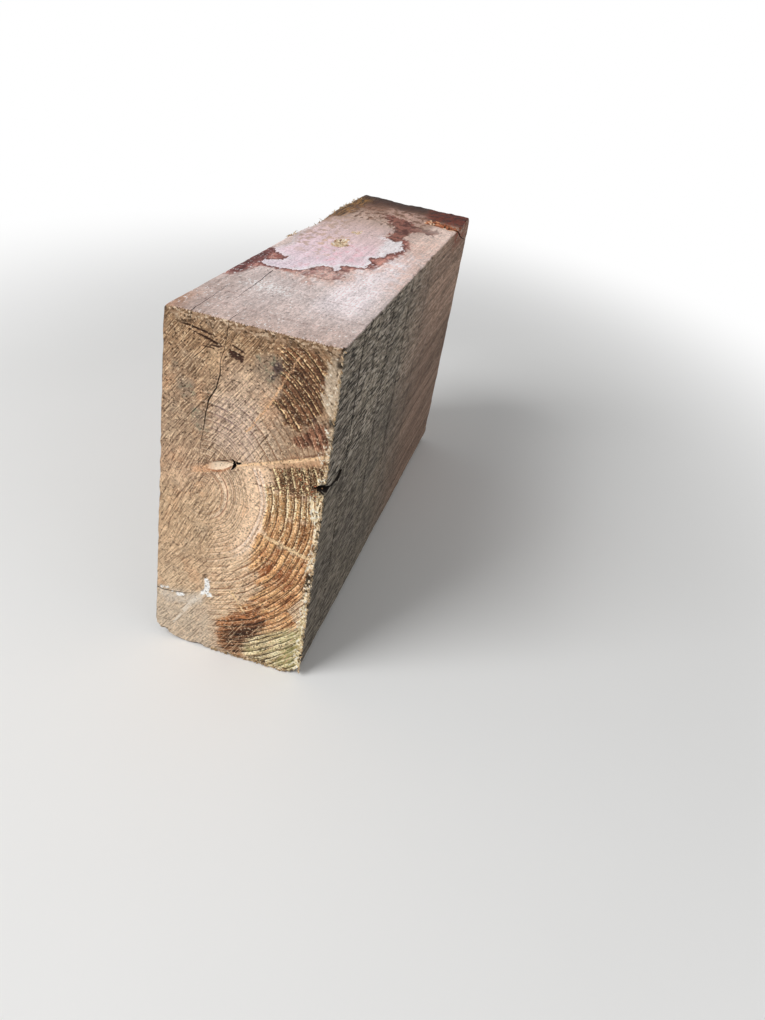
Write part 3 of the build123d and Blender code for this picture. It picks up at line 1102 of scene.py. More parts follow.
def saw_marks_group():
    """Straight saw marks at an angle to the level: noise drawn out along the marks. The place
    across them is across times the sine plus drop times the cosine of the angle."""
    inputs = {"Point": ORIGIN, "Angle": 1.0, "Pitch": 1.1, "Length": 30.0, "Seed": 0.0}
    net = new_group("saw_marks", inputs, ("Mark", "Light", "Dark"))
    x, _, z = net.parts(net.inputs["Point"])
    sine, cosine = net.math("SINE", net.inputs["Angle"]), net.math("COSINE", net.inputs["Angle"])
    over = net.total(net.times(x, sine), net.times(z, cosine))
    run = net.less(net.times(x, cosine), net.times(z, sine))
    place = net.place(net.math("DIVIDE", over, net.inputs["Pitch"]),
                      net.math("DIVIDE", run, net.inputs["Length"]), 0.0)
    mark = net.noise(place, 1.0, 1.0, 0.5, net.inputs["Seed"])
    net.put(Mark=mark, Light=net.step(mark, 0.55, 0.64), Dark=net.step(mark, 0.45, 0.36))


def fibre_grain_group():
    """Long wood fibres on a sawn face: noises drawn out along the beam, coarse and fine, and short
    dark pores and light flecks between them."""
    net = new_group("fibre_grain", {"Point": ORIGIN, "Length": 60.0, "Seed": 0.0},
                    ("Coarse", "Fine", "Pore", "Fleck"))
    x, y, z = net.parts(net.inputs["Point"])
    drift, seed = net.place(x, net.math("DIVIDE", y, net.inputs["Length"]), z), net.inputs["Seed"]
    short = net.noise(drift, (1.1, 0.09, 1.1), 1.0, 0.5, net.total(seed, 9.0))
    net.put(Coarse=net.noise(drift, (5.0, 1.0, 5.0), 2.0, 0.5, seed),
            Fine=net.noise(drift, (1.1, 0.4, 1.1), 2.0, 0.6, seed),
            Pore=net.step(short, 0.40, 0.30), Fleck=net.step(short, 0.62, 0.72))


def mottle_group():
    """Weathered grain: a strength of about 1 that swings from one small grain to the next and with a
    noise, masks of the few grains that are dark pits, painted dark as the shade inside them, and of
    the few that are light dots, painted glints, and a height."""
    net = new_group("mottle", {"Point": ORIGIN, "Cell": 1.6, "Swing": 1.0, "Seed": 0.0},
                    ("Light", "Pit", "Dot", "Height"))
    seed = net.inputs["Seed"]
    scaled = net.scaled(net.inputs["Point"], net.math("DIVIDE", 1.0, net.inputs["Cell"]))
    grain = net.grains(net.vector("ADD", scaled, net.vector("MULTIPLY", seed, (3.7, 5.3, 7.1))), 1.0)
    cloud = net.noise(scaled, 1.5, 2.0, 0.6, seed)
    change = net.total(net.swing(grain, 0.8), net.swing(cloud, 1.0))
    net.put(Light=net.total(1.0, net.times(change, net.inputs["Swing"])),
            Pit=net.times(net.step(grain, 0.14, 0.08), net.step(cloud, 0.56, 0.46)),
            Dot=net.times(net.step(grain, 0.88, 0.94), net.step(cloud, 0.44, 0.54)),
            Height=net.total(net.times(grain, 0.35), net.times(cloud, 0.65)))


def specks_group():
    """Small round specks of dirt: noise of the speck's size above a limit that a share sets."""
    net = new_group("specks", {"Point": ORIGIN, "Size": 1.5, "Share": 0.2, "Seed": 0.0}, ("Speck",))
    scaled = net.scaled(net.inputs["Point"], net.math("DIVIDE", 1.0, net.inputs["Size"]))
    spread = net.noise(scaled, 1.0, 2.0, 0.5, net.inputs["Seed"])
    limit = net.less(0.76, net.times(net.inputs["Share"], 0.35))
    net.put(Speck=net.step(spread, limit, net.total(limit, 0.04)))


GROUPS = [beam_places_group, growth_rings_group, saw_marks_group, fibre_grain_group, mottle_group,
          specks_group]


def end_base(net, looks, place, broad, patchy):
    """Ground colour of the weathered end: darker at the top and its left, palest near the foot."""
    across, drop = place.across, place.drop
    level = net.math("DIVIDE", net.total(drop, net.swing(broad, 50.0)), HEIGHT)
    colour = net.ramp(level,
                      [(0.00, (148, 118, 90)), (0.06, (162, 129, 98)), (0.20, looks.end_upper),
                       (0.34, (178, 148, 121)), (0.42, (194, 160, 131)), (0.52, (204, 172, 138)),
                       (0.66, looks.end_lower), (0.82, (211, 182, 150)), (1.00, (206, 182, 156))])
    middle = net.times(net.between(across, 50, 96, 14), net.step(drop, 120, 84), net.step(drop, 20, 50))
    colour.over((208, 180, 155), middle, 0.8)
    right = net.times(net.between(across, 52, 92, 12), net.between(drop, 122, 258, 12))
    colour.over((229, 196, 162), right, 0.8)
    foot = net.times(net.ragged(drop, broad, 40.0, 256, 272), net.step(across, 64, 48))
    colour.over((212, 188, 163), foot, 0.7)
    tint = net.noise(place.point, 24.0, 3.0, 0.6, seed=6.0)
    colour.over((204, 152, 112), net.step(tint, 0.52, 0.66, 0.0, 0.35))
    colour.over((192, 168, 142), net.step(tint, 0.46, 0.34, 0.0, 0.45))
    colour.lit(net.step(patchy, 0.25, 0.75, 0.84, 1.16))
    return colour


def end_rings(net, colour, place, rings):
    """Fine rings about the heart, clear above it and to its right, a double line of two rings close
    to it, a pale double ring beyond, and golden streaks between that and the stains."""
    across, drop, radius, streak = place.across, place.drop, rings.radius, rings.streak
    eye = net.times(net.step(radius, 3, 7), net.step(radius, 34, 20), net.step(across, 16, 34, 0.3, 1.0))
    below = net.times(net.step(radius, 14, 20), net.step(across, 40, 58), net.step(drop, 110, 122))
    over = net.times(net.step(drop, 130, 108), net.step(radius, 82, 66), net.step(across, 28, 42))
    seen = net.most(below, over, net.times(eye, 0.6))
    calm = net.step(radius, 36, 60, 1.0, 1.6)
    colour.sway(streak, 1.0, seen, calm)
    fine = net.times(seen, net.step(drop, 160, 132, 0.6, 0.75))
    colour.over((138, 98, 72), rings.dark, fine)
    colour.over((242, 216, 188), rings.light, fine, 0.8)
    pinkish = net.times(net.between(radius, 40, 62, 3), net.step(across, 62, 76),
                        net.between(drop, 104, 206, 16))
    colour.over((248, 214, 180), pinkish, 0.8)
    near = net.times(net.step(across, 42, 50), net.between(drop, 124, 170, 6))
    pale = net.times(net.step(across, 62, 74), net.between(drop, 106, 200, 14))
    for where, least, share, lines in ((near, 0.4, 0.75, NEAR_LINES), (pale, 0.5, 0.7, PALE_LINES)):
        for start, end, shade in lines:
            line = net.times(net.between(radius, start, end, 0.4), where,
                             net.step(rings.blade, 0.3, 0.5, least, 1.0))
            colour.over(shade, line, share)
    greyish = net.times(net.between(radius, 38, 80, 8), net.between(across, 44, 80, 6),
                        net.between(drop, 58, 108, 8))
    colour.over((202, 178, 163), greyish, 0.45)
    blue = net.times(greyish, rings.dark, net.step(streak, 0.4, 0.6))
    colour.over((122, 100, 104), blue, 0.75)
    gold = net.times(net.step(radius, 46, 62), net.step(across, 44, 66), net.between(drop, 150, 276, 14))
    colour.over((172, 118, 76), gold, net.step(streak, 0.46, 0.37), 0.7)
    colour.over((250, 220, 180), gold, net.step(streak, 0.54, 0.62), 0.7)


def end_stain_colours(net, name, rings, mottle, place):
    """Ground of one stain: its colour changed from ring to ring and by streaks, dark ring lines that
    come and go, and straw dots, most of them in rows along the light lines."""
    low, high, line, straw, dots, lines, streaks = STAIN_COLOURS[name]
    streaky = net.step(place.drop, 200, 232, streaks, 1.0)
    tone = net.total(net.times(rings.tone, 0.35), net.step(rings.blade, 0.38, 0.62, 0.0, 0.65))
    colour = net.blend(tone, low, high)
    shade = net.step(rings.tone, 0.2, 0.8, 0.08, 0.26)
    colour.lit(net.total(1.0, net.times(net.step(rings.part, 0.1, 0.9, 1.0, -1.0), shade)))
    colour.sway(rings.streak, 2.2, streaky)
    colour.over(line, net.step(rings.streak, 0.44, 0.36), streaky, 0.85)
    colour.over(straw, net.step(rings.streak, 0.57, 0.64), streaky, 0.65)
    there = net.step(rings.blade, 0.36, 0.52, 0.25, lines)
    colour.over(line, rings.dark, there)
    row = net.times(rings.light, net.step(mottle.light, 0.9, 1.15), min(1.0, dots))
    colour.over(straw, row, net.step(rings.blade, 0.4, 0.52))
    speck = net.noise(place.point, 1.2, 2.0, 0.6, seed=17.0)
    row = net.times(net.step(rings.part, 0.42, 0.1), net.step(rings.blade, 0.4, 0.56, 0.1, 1.0))
    limit = net.pick(row, 0.69 - 0.07 * dots, 0.59 - 0.09 * dots)
    colour.over(straw, net.step(speck, limit, net.total(limit, 0.04)))
    dark_limit = 0.32 + 0.06 * dots
    colour.over(line, net.step(speck, dark_limit, dark_limit - 0.05))
    # Pits painted dark as their shade
    colour.over(line, mottle.pit, 0.7)
    return colour


def end_saw(net, place, patchy):
    """Saw marks in three fields of their own angles, one under the other, and long dark hairlines."""

    def marks(pitch, degrees, length, seed):
        """One field of saw marks, by the pitch, angle and length of its marks."""
        return net.group("saw_marks", Point=place.point, Angle=math.radians(degrees), Pitch=pitch,
                         Length=length, Seed=seed)

    fields = [marks(*field, 14.0, float(number)) for number, field in enumerate(SAW_FIELDS)]
    upper = net.ragged(place.drop, patchy, 30.0, 90, 112)
    lower = net.ragged(place.drop, patchy, 30.0, 190, 222)
    saw = SimpleNamespace()
    for label in ("mark", "light", "dark"):
        first, second, third = [getattr(field, label) for field in fields]
        setattr(saw, label, net.pick(lower, net.pick(upper, first, second), third))
    hairs = marks(1.5, 58, 55.0, 8.0)
    saw.hair = net.times(net.step(hairs.mark, 0.38, 0.335), net.step(patchy, 0.4, 0.52))
    saw.scratch = net.step(marks(1.2, 60, 26.0, 9.0).mark, 0.6, 0.66)
    return saw


def end_branch(net, colour, place, mottle, patchy):
    """The branch cut lengthways: a bright crest, a smooth stripe under it that widens to the right,
    and the pale lens of its torn sliver with a dark upper edge."""
    across = place.across
    above = net.attribute("above_branch")
    grown = net.step(across, 58, 134)
    wide = net.total(1.8, net.times(grown, 6.6))
    below = net.total(net.times(above, -1.0), net.swing(patchy, 5.0))
    body = net.times(net.step(below, net.times(wide, 1.25), net.times(wide, 0.8)),
                     net.step(below, -1.2, -0.2), net.step(across, 58, 80))
    calm = net.step(mottle.light, 0.6, 1.4, 0.88, 1.12)
    smooth_wood = net.lit(net.blend(grown, (228, 194, 162), (224, 178, 138)), calm)
    colour.over(smooth_wood, body, 0.85)
    warm = net.times(net.between(above, 1.2, 3.0, 0.8), net.step(across, 100, 124))
    colour.over((112, 64, 42), warm, 0.55)
    line = net.total(above, net.swing(patchy, 1.5), net.times(net.rest(mottle.light), 0.5))
    crest = net.times(net.step(line, net.pick(grown, -1.4, -2.6), net.pick(grown, -0.7, -1.7)),
                      net.step(line, 1.3, 0.6), net.step(across, 56, 66))
    crest = net.times(crest, net.step(mottle.light, 0.6, 1.0, 0.5, 0.95))
    colour.over(net.lit((248, 208, 164), calm), crest)
    tail = net.times(net.between(above, -5.0, 1.0, 1.5), net.between(across, 29, 50, 5))
    colour.over(net.lit((226, 173, 132), mottle.light), tail, 0.65)
    lens = net.attribute("sliver")
    inside = net.step(lens, 1.1, 0.85)
    wood = net.lit(net.blend(net.step(across, 50, 38), (246, 222, 194), (212, 160, 118)), calm)
    colour.over(wood, inside, 0.94)
    rim = net.times(net.between(lens, 0.95, 1.6, 0.2), net.between(across, 36, 64, 3))
    colour.over((180, 112, 72), rim, net.step(above, 0.0, -2.0), 0.6)
    colour.over((108, 76, 58), rim, net.step(above, -2.5, -1.0), 0.5)


def end_lines(net, colour, place, mottle, patchy):
    """Marks on the weathered end: crumbly pale lines, dotted dark lines, gouges, dark blue spots,
    grey smudges, a grey smear and dabs of plaster."""
    smudge = net.stain("grey_smudges", 12.0, 3.5, patchy)
    colour.over(net.lit((150, 132, 114), mottle.light), smudge, 0.6)
    green = net.times(smudge, net.step(net.noise(place.point, 5.0, 2.0, seed=19.0), 0.54, 0.62))
    colour.over((120, 134, 112), green, 0.4)
    scribble = net.stain("scribble", 14.0, 3.0, patchy)
    dirt = net.step(net.noise(place.point, (1.4, 1.4, 2.2), 2.0, 0.6, seed=20.0), 0.5, 0.42)
    colour.over((104, 80, 54), scribble, net.step(place.drop, 60, 40, 0.6, 1.0), dirt, 0.9)
    pale_wood = net.stain("pale_lens", 5.0, 2.0, patchy)
    colour.over(net.lit((212, 180, 144), mottle.light), pale_wood, 0.5)
    spot = net.stain("blue_spots", 6.0, 1.4, patchy)
    colour.over(net.lit((62, 46, 52), mottle.light), spot, 0.75)
    pale = net.times(net.attribute("pale_line"), net.step(mottle.light, 0.75, 1.1, 0.5, 1.25))
    pale = net.times(net.step(pale, 0.2, 0.6), net.step(patchy, 0.34, 0.5, 0.45, 1.0))
    colour.over((244, 210, 164), pale)
    crumb = net.noise(place.point, (1.8, 1.8, 1.8), 2.0, 0.6, seed=35.0)
    gap = net.ragged(net.attribute("pale_gap"), crumb, 2.6, 0.5, 0.8)
    colour.over(net.lit((226, 180, 138), mottle.light), gap, 0.75)
    smear = net.times(net.stain("smear", 16.0, 3.0, patchy), net.step(mottle.light, 0.7, 1.2, 0.4, 1.0))
    colour.over((222, 210, 196), smear, 0.6)
    streak = net.times(net.step(net.attribute("pale_streak"), 0.1, 0.6),
                       net.step(patchy, 0.38, 0.56, 0.1, 1.0))
    colour.over((236, 224, 208), streak, 0.75)
    dotted = net.step(mottle.light, 1.05, 0.85, 0.35, 1.2)
    dark = net.times(net.step(net.times(net.attribute("dark_line"), dotted), 0.15, 0.5), 0.75)
    faint = net.times(net.step(net.attribute("faint_line"), 0.1, 0.6), dotted, net.step(patchy, 0.4, 0.55))
    dark = net.most(dark, net.times(faint, 0.45))
    colour.over((88, 58, 42), dark)
    gouge = net.step(net.total(net.attribute("gouge"), net.times(net.rest(mottle.light), 0.2)), 0.3, 0.6)
    colour.over(net.lit((58, 33, 25), mottle.light), gouge, 0.95)
    cover = net.total(net.attribute("plaster"), net.times(net.less(mottle.light, 1.0), 2.5),
                      net.swing(patchy, 7.0))
    dab = net.lit((252, 252, 250), net.step(mottle.light, 0.6, 1.0, 0.6, 1.06))
    bit = net.step(net.noise(place.point, (2.2, 2.2, 1.6), 2.0, 0.6, seed=36.0), 0.46, 0.4)
    dab.over((122, 116, 110), bit, 0.75)
    colour.over(dab, net.step(cover, -0.8, 0.4), 0.97)
    return gouge


def end_rim(net, colour, place, rings):
    """The broken right edge: pale crumbs with painted shade in the gaps between them, wider near the
    top, where the crumbs are drawn out along the rings. The notches in the edge are painted dark as
    their shade."""
    across, drop, point = place.across, place.drop, place.point
    start = net.less(134.8, net.times(net.between(drop, 8, 50, 8), 7.0))
    start = net.less(start, net.times(net.between(drop, 120, 150, 4), 3.0))
    start = net.less(start, net.times(net.between(drop, 222, 300, 8), 2.0))
    crumb = net.total(net.times(net.grains(point, 1.7, 2.0), 0.35),
                      net.times(net.noise(point, 2.2, 2.0, 0.6, 27.0), 0.65))
    high = net.step(drop, 70, 52, 0.0, 0.35)
    crumb = net.pick(high, crumb, rings.streak)
    over = net.less(net.total(across, net.swing(rings.blade, 26.0), net.swing(crumb, 7.0)), start)
    shade = net.ramp(net.math("DIVIDE", drop, HEIGHT),
                     [(0.0, (170, 150, 128)), (0.12, (204, 184, 160)), (0.3, (216, 189, 153)),
                      (0.38, (240, 215, 172)), (0.46, (252, 234, 198)), (0.54, (240, 212, 169)),
                      (0.68, (243, 217, 176)), (0.85, (236, 218, 172)), (1.0, (228, 210, 162))])
    crumbs = net.lit(shade, net.total(1.07, net.swing(crumb, 2.5)))
    # Painted shade in the gaps between the crumbs
    crumbs.over((100, 76, 54), net.step(crumb, 0.385, 0.32))
    crumbs.over((38, 26, 19), net.step(crumb, 0.33, 0.27))
    bright = net.times(net.step(crumb, 0.58, 0.64), net.rest(net.times(high, 0.6)))
    crumbs.over((255, 249, 232), bright)
    colour.over(crumbs, net.step(over, -1.5, 1.5), 0.9)
    # Painted shade in the notches of the edge and in a cluster of crumbs
    gap = net.most(net.between(drop, 11, 16, 1.5), net.between(drop, 57, 63, 2))
    gap = net.most(gap, net.times(net.between(drop, 111, 121, 2), net.step(across, 131.5, 134.5)))
    gap = net.times(gap, net.step(across, 132.5, 135.5))
    cluster = net.times(net.between(drop, 196, 219, 3), net.step(across, 130.5, 134.5),
                        net.step(crumb, 0.6, 0.5))
    gap = net.most(gap, cluster)
    colour.over((36, 26, 18), gap, 0.9)


def end_grain_material(net, looks):
    """The weathered end: ground colour, rings, stains that follow the rings, saw marks, the branch
    and its sliver, small marks, the broken right rim and a darker crumbly top edge."""
    place = net.group("beam_places")
    point, across, drop = place.point, place.across, place.drop
    broad = net.noise(point, 38.0, 2.0, seed=1.0)
    patchy = net.noise(point, 8.0, 3.0, 0.55, seed=2.0)
    busy = net.most(net.ragged(drop, patchy, 40.0, 108, 76), net.step(across, 62, 94))
    mottle = net.group("mottle", Point=point, Cell=1.2, Swing=net.pick(busy, 0.5, 0.95), Seed=4.0)
    rings = net.group("growth_rings", Point=point, Wobble=1.0)
    colour = end_base(net, looks, place, broad, patchy)
    end_rings(net, colour, place, rings)
    colour.lit(mottle.light)

    right = net.times(net.step(across, 60, 100), net.step(rings.radius, 60, 68))
    colour.over((138, 98, 68), rings.dark, right, 0.6)
    # Light ring lines on the right, shown only on grains painted as glints
    colour.over((244, 218, 178), rings.light, right, mottle.dot, 0.9)
    ragged = net.total(net.times(patchy, 0.4), net.times(rings.tone, 0.2), net.times(rings.blade, 0.4))
    for name, (edge, soft) in STAIN_EDGES.items():
        mask = net.stain(name, edge, soft, ragged)
        ground = net.lit(end_stain_colours(net, name, rings, mottle, place), mottle.light)
        colour.over(ground, mask, 0.94)
    green = net.times(net.stain("olive", 20.0, 5.0, patchy), net.step(broad, 0.5, 0.6))
    colour.over((176, 176, 106), green, 0.4)
    grey = net.stain("grey_foot", 16.0, 4.0, patchy)
    colour.over(net.lit((196, 180, 160), mottle.light), grey, 0.55)

    saw = end_saw(net, place, patchy)
    left = net.times(net.step(across, 112, 60, 0.1, 1.0), net.step(drop, 150, 100, 0.9, 1.1))
    left = net.times(left, net.step(drop, 262, 236, 0.8, 1.0), net.step(patchy, 0.35, 0.6, 0.6, 1.15))
    arcs = net.times(net.between(rings.radius, 17, 60, 4), net.step(across, 44, 58),
                     net.between(drop, 118, 206, 12))
    left = net.times(left, net.pick(arcs, 1.0, 0.42))
    colour.sway(saw.mark, 1.6, left)
    colour.over((246, 216, 176), saw.light, left, 0.36)
    colour.over((96, 66, 44), saw.dark, left, 0.5)
    hair = net.times(saw.hair, net.step(across, 100, 84), net.step(drop, 190, 150, 0.3, 1.0))
    hair = net.times(hair, net.pick(arcs, 1.0, 0.5))
    colour.over((74, 50, 35), hair, 0.8)
    low_right = net.times(net.step(drop, 236, 262), net.step(across, 56, 70))
    colour.over((226, 188, 150), saw.scratch, low_right, 0.6)

    end_branch(net, colour, place, mottle, patchy)
    gouge = end_lines(net, colour, place, mottle, patchy)
    # Pits painted dark as their shade, stronger above the foot and towards the upper left, and light grains
    # painted as glints
    upper = net.step(net.total(drop, across), 150, 90, 0.0, 0.35)
    pits = net.times(mottle.pit, net.ragged(drop, broad, 60.0, 270, 240, 0.2, 0.5))
    colour.over((72, 49, 34), net.total(pits, net.times(mottle.pit, upper)))
    colour.over((254, 230, 194), mottle.dot, 0.45)
    end_rim(net, colour, place, rings)
    crumb = net.grains(point, (1.9, 1.9, 1.4), 3.0)
    band = net.step(net.total(drop, net.swing(patchy, 18.0), net.swing(crumb, 6.0)), 12.0, 5.0)
    crust = net.ramp(crumb,
                     [(0.0, (48, 33, 23)), (0.3, (128, 99, 73)), (0.65, (178, 147, 119)),
                      (1.0, (244, 220, 190))])
    colour.over(crust, band, 0.75)

    height = net.total(net.times(net.swing(saw.mark, 1.0), left), net.times(mottle.height, 0.6),
                       net.times(net.swing(rings.streak, 1.0), right), net.times(rings.dark, right, -0.35),
                       net.times(mottle.pit, -0.25), net.times(gouge, -0.5))
    net.surface(colour, net.step(mottle.height, 0.3, 0.7, 0.78, 0.95), height)


def far_end_grain_material(net, looks):
    """The other end: the same rings and saw marks, plainer and evenly weathered."""
    point = net.group("beam_places").point
    patchy = net.noise(point, 14.0, 3.0, seed=7.0)
    mottle = net.group("mottle", Point=point, Cell=1.6, Swing=0.7, Seed=8.0)
    rings = net.group("growth_rings", Point=point, Wobble=1.0)
    marks = net.group("saw_marks", Point=point, Angle=math.radians(118), Pitch=1.6, Length=60.0, Seed=9.0)
    colour = net.blend(net.step(patchy, 0.3, 0.7), looks.end_upper, looks.end_lower)
    colour.lit(net.step(rings.part, 0.1, 0.9, 1.05, 0.9))
    colour.over((128, 94, 68), rings.dark, 0.5)
    colour.lit(mottle.light)
    colour.sway(marks.mark, 0.8)
    colour.over((108, 80, 60), marks.dark, 0.3)
    height = net.total(net.times(marks.mark, 0.8), net.times(mottle.height, 0.7),
                       net.times(rings.dark, -0.2))
    net.surface(colour, net.step(mottle.height, 0.3, 0.7, 0.8, 0.95), height)


def top_ground(net, looks, place, broad, patchy, grain):
    """Ground colour of the top face: pinkish pale, a lilac band along the right, orange at the near
    left corner, worn beige beyond the patch and red-brown at the far end, whose last stretch is
    darkened almost to black as painted shade."""
    across, along = place.across, place.along
    level = net.math("DIVIDE", net.total(along, net.swing(broad, 50.0)), LENGTH)
    # The last two stops darken the far end: partly its red-brown colour, partly painted shade
    colour = net.ramp(level,
                      [(0.00, (204, 180, 170)), (0.05, (216, 195, 188)), (0.16, looks.top_colour),
                       (0.36, (232, 212, 207)), (0.62, (232, 208, 198)), (0.80, (196, 166, 150)),
                       (0.88, (150, 114, 96)), (0.94, (74, 49, 39)), (1.00, (50, 34, 28))])
    lilac = net.times(net.between(across, 90, 128, 8), net.between(along, 70, 280, 30))
    colour.over((255, 242, 244), lilac, 0.85)
    side = net.ragged(across, patchy, 26.0, 46, 10)
    colour.over((194, 170, 160), side, net.step(along, 160, 60), 0.7)
    corner = net.times(net.ragged(across, patchy, 16.0, 18, 4), net.step(along, 56, 20))
    colour.over((184, 134, 100), corner, 0.65)
    for start, end in ((29, 32), (57, 60), (92, 94)):
        crosswise = net.times(net.between(along, start, end, 2.0), net.step(patchy, 0.42, 0.56))
        colour.over((166, 130, 120), crosswise, 0.4)
    right = net.times(net.step(across, 106, 116), net.between(along, 320, 440, 20))
    colour.over((246, 220, 208), right, 0.85)
    pale = net.times(net.between(across, 50, 100, 8), net.between(along, 424, 482, 8),
                     net.step(patchy, 0.43, 0.5))
    colour.over((208, 172, 158), pale, 0.85)
    spots = net.times(net.step(patchy, 0.47, 0.4), net.between(along, 355, 470, 16),
                      net.step(across, 112, 96))
    colour.over((134, 98, 80), spots, 0.8)
    gold = net.times(net.ragged(across, patchy, 14.0, 26, 12), net.between(along, 350, 510, 20))
    fibre = net.blend(net.step(grain.fine, 0.42, 0.58), (44, 28, 16), (158, 116, 66))
    colour.over(fibre, gold, 0.9)
    far_red = net.times(net.ragged(along, patchy, 44.0, 458, 474), net.step(across, 84, 100))
    red = net.blend(net.step(patchy, 0.42, 0.58), (56, 19, 11), (112, 46, 29))
    colour.over(red, far_red, 0.9)
    return colour


def top_patch(net, colour, place, broad, patchy, grain):
    """The pale patch, its red-brown halo with a darker line close to the patch, the lobe of white at
    its right, the dark left corner of the halo and the brown forked stain beyond it."""
    across, along = place.across, place.along
    scallop = net.noise(place.point, (4.0, 9.0, 5.0), 3.0, 0.65, seed=15.0)
    rim = net.total(net.attribute("dark_rim"), net.swing(scallop, 16.0))
    patch = net.total(net.attribute("pale_patch"), net.swing(scallop, 18.0))
    salmon = net.times(net.step(rim, -26.0, -2.0), net.step(patchy, 0.36, 0.6), net.step(across, 20, 50))
    colour.over((232, 190, 174), salmon, 0.6)
    warm = net.times(net.step(across, 112, 128), net.between(along, 150, 370, 30),
                     net.step(patchy, 0.4, 0.56))
    colour.over((238, 200, 184), warm, 0.5)
    halo = net.times(net.step(rim, -3.0, 3.0), net.step(patch, 0.8, -0.4))
    faded = net.times(net.between(across, 48, 92, 5), net.step(along, 195, 170))
    ground = net.blend(net.step(patchy, 0.42, 0.58), (150, 87, 78), (208, 148, 134))
    ground.lit(net.step(grain.fine, 0.35, 0.65, 0.8, 1.16))
    thin = net.step(patchy, 0.4, 0.6, 0.75, 0.2)
    colour.over(ground, halo, net.pick(faded, 0.95, thin))
    edge = net.times(net.step(patch, -5.0, -1.0), net.step(patch, 0.4, -0.4), net.step(along, 345, 320))
    colour.over((100, 57, 53), edge, net.step(rim, -1.0, 2.0), 0.85)
    outer = net.times(net.step(rim, -2.0, 0.0), net.step(rim, 4.0, 1.0), net.step(patch, -2.0, -5.0))
    colour.over((130, 82, 72), outer, net.step(scallop, 0.42, 0.56), 0.6)
    left = net.ragged(across, scallop, 14.0, 17, 9)
    corner = net.times(left, net.between(along, 104, 204, 9), net.step(patch, 0.4, -0.4))
    dark = net.lit((100, 57, 57), net.step(patchy, 0.4, 0.6, 0.55, 1.35))
    colour.over(dark, corner, 0.9)
    drip = net.times(net.between(across, 60, 73, 4), net.between(along, 112, 148, 8),
                     net.step(patchy, 0.42, 0.55))
    colour.over((192, 146, 130), drip, 0.5)

    inside = net.step(patch, -0.3, 0.5)
    pink = net.ramp(net.math("DIVIDE", net.total(along, net.swing(broad, 60.0)), LENGTH),
                    [(0.28, (250, 232, 243)), (0.40, (248, 224, 232)), (0.50, (252, 224, 230)),
                     (0.62, (238, 211, 208)), (0.74, (206, 178, 168))])
    rosy = net.times(net.step(patchy, 0.5, 0.6), net.between(across, 40, 90, 10), net.step(along, 300, 270))
    pink.over((250, 196, 206), rosy, 0.5)
    beige = net.times(net.step(across, 50, 20), net.step(patchy, 0.54, 0.44), net.step(along, 200, 240))
    pink.over((196, 164, 142), beige, 0.7)
    yellow = net.times(net.between(across, 28, 60, 8), net.between(along, 215, 310, 16),
                       net.step(patchy, 0.47, 0.4))
    pink.over((216, 176, 136), yellow, 0.5)
    edging = net.times(net.step(across, 14, 6), net.between(along, 205, 400, 10))
    pink.over((176, 140, 118), edging, net.step(scallop, 0.4, 0.55, 0.4, 1.0), 0.8)
    brink = net.times(net.step(patch, 8.0, 2.0), net.step(scallop, 0.3, 0.5, 0.5, 1.0))
    pink.over((255, 248, 252), brink, net.step(across, 30, 60, 0.5, 0.95), net.step(along, 350, 320))
    lobe = net.stain("white_lobe", 14.0, 4.0, scallop)
    pink.over((255, 248, 250), lobe, 0.9)
    pink.lit(net.step(grain.coarse, 0.35, 0.65, 0.9, 1.06))
    flaw = net.noise(place.point, (2.4, 7.0, 3.0), 2.0, 0.6, seed=33.0)
    flaws = net.times(net.step(flaw, 0.39, 0.32), net.step(along, 170, 330, 0.2, 0.9))
    pink.over((168, 130, 112), flaws)
    fade = net.ragged(along, patchy, 120.0, 404, 370)
    colour.over(pink, inside, fade, 0.96)

    brown = net.stain("brown_stain", 30.0, 1.6, scallop)
    far = net.step(along, 384, 410, 0.0, 1.0)
    strength = net.pick(net.times(far, net.step(across, 88, 104)), 0.96, 0.55)
    stale = net.blend(net.step(patchy, 0.42, 0.58), (84, 43, 37), (146, 93, 79))
    colour.over(stale, brown, strength)
    return inside


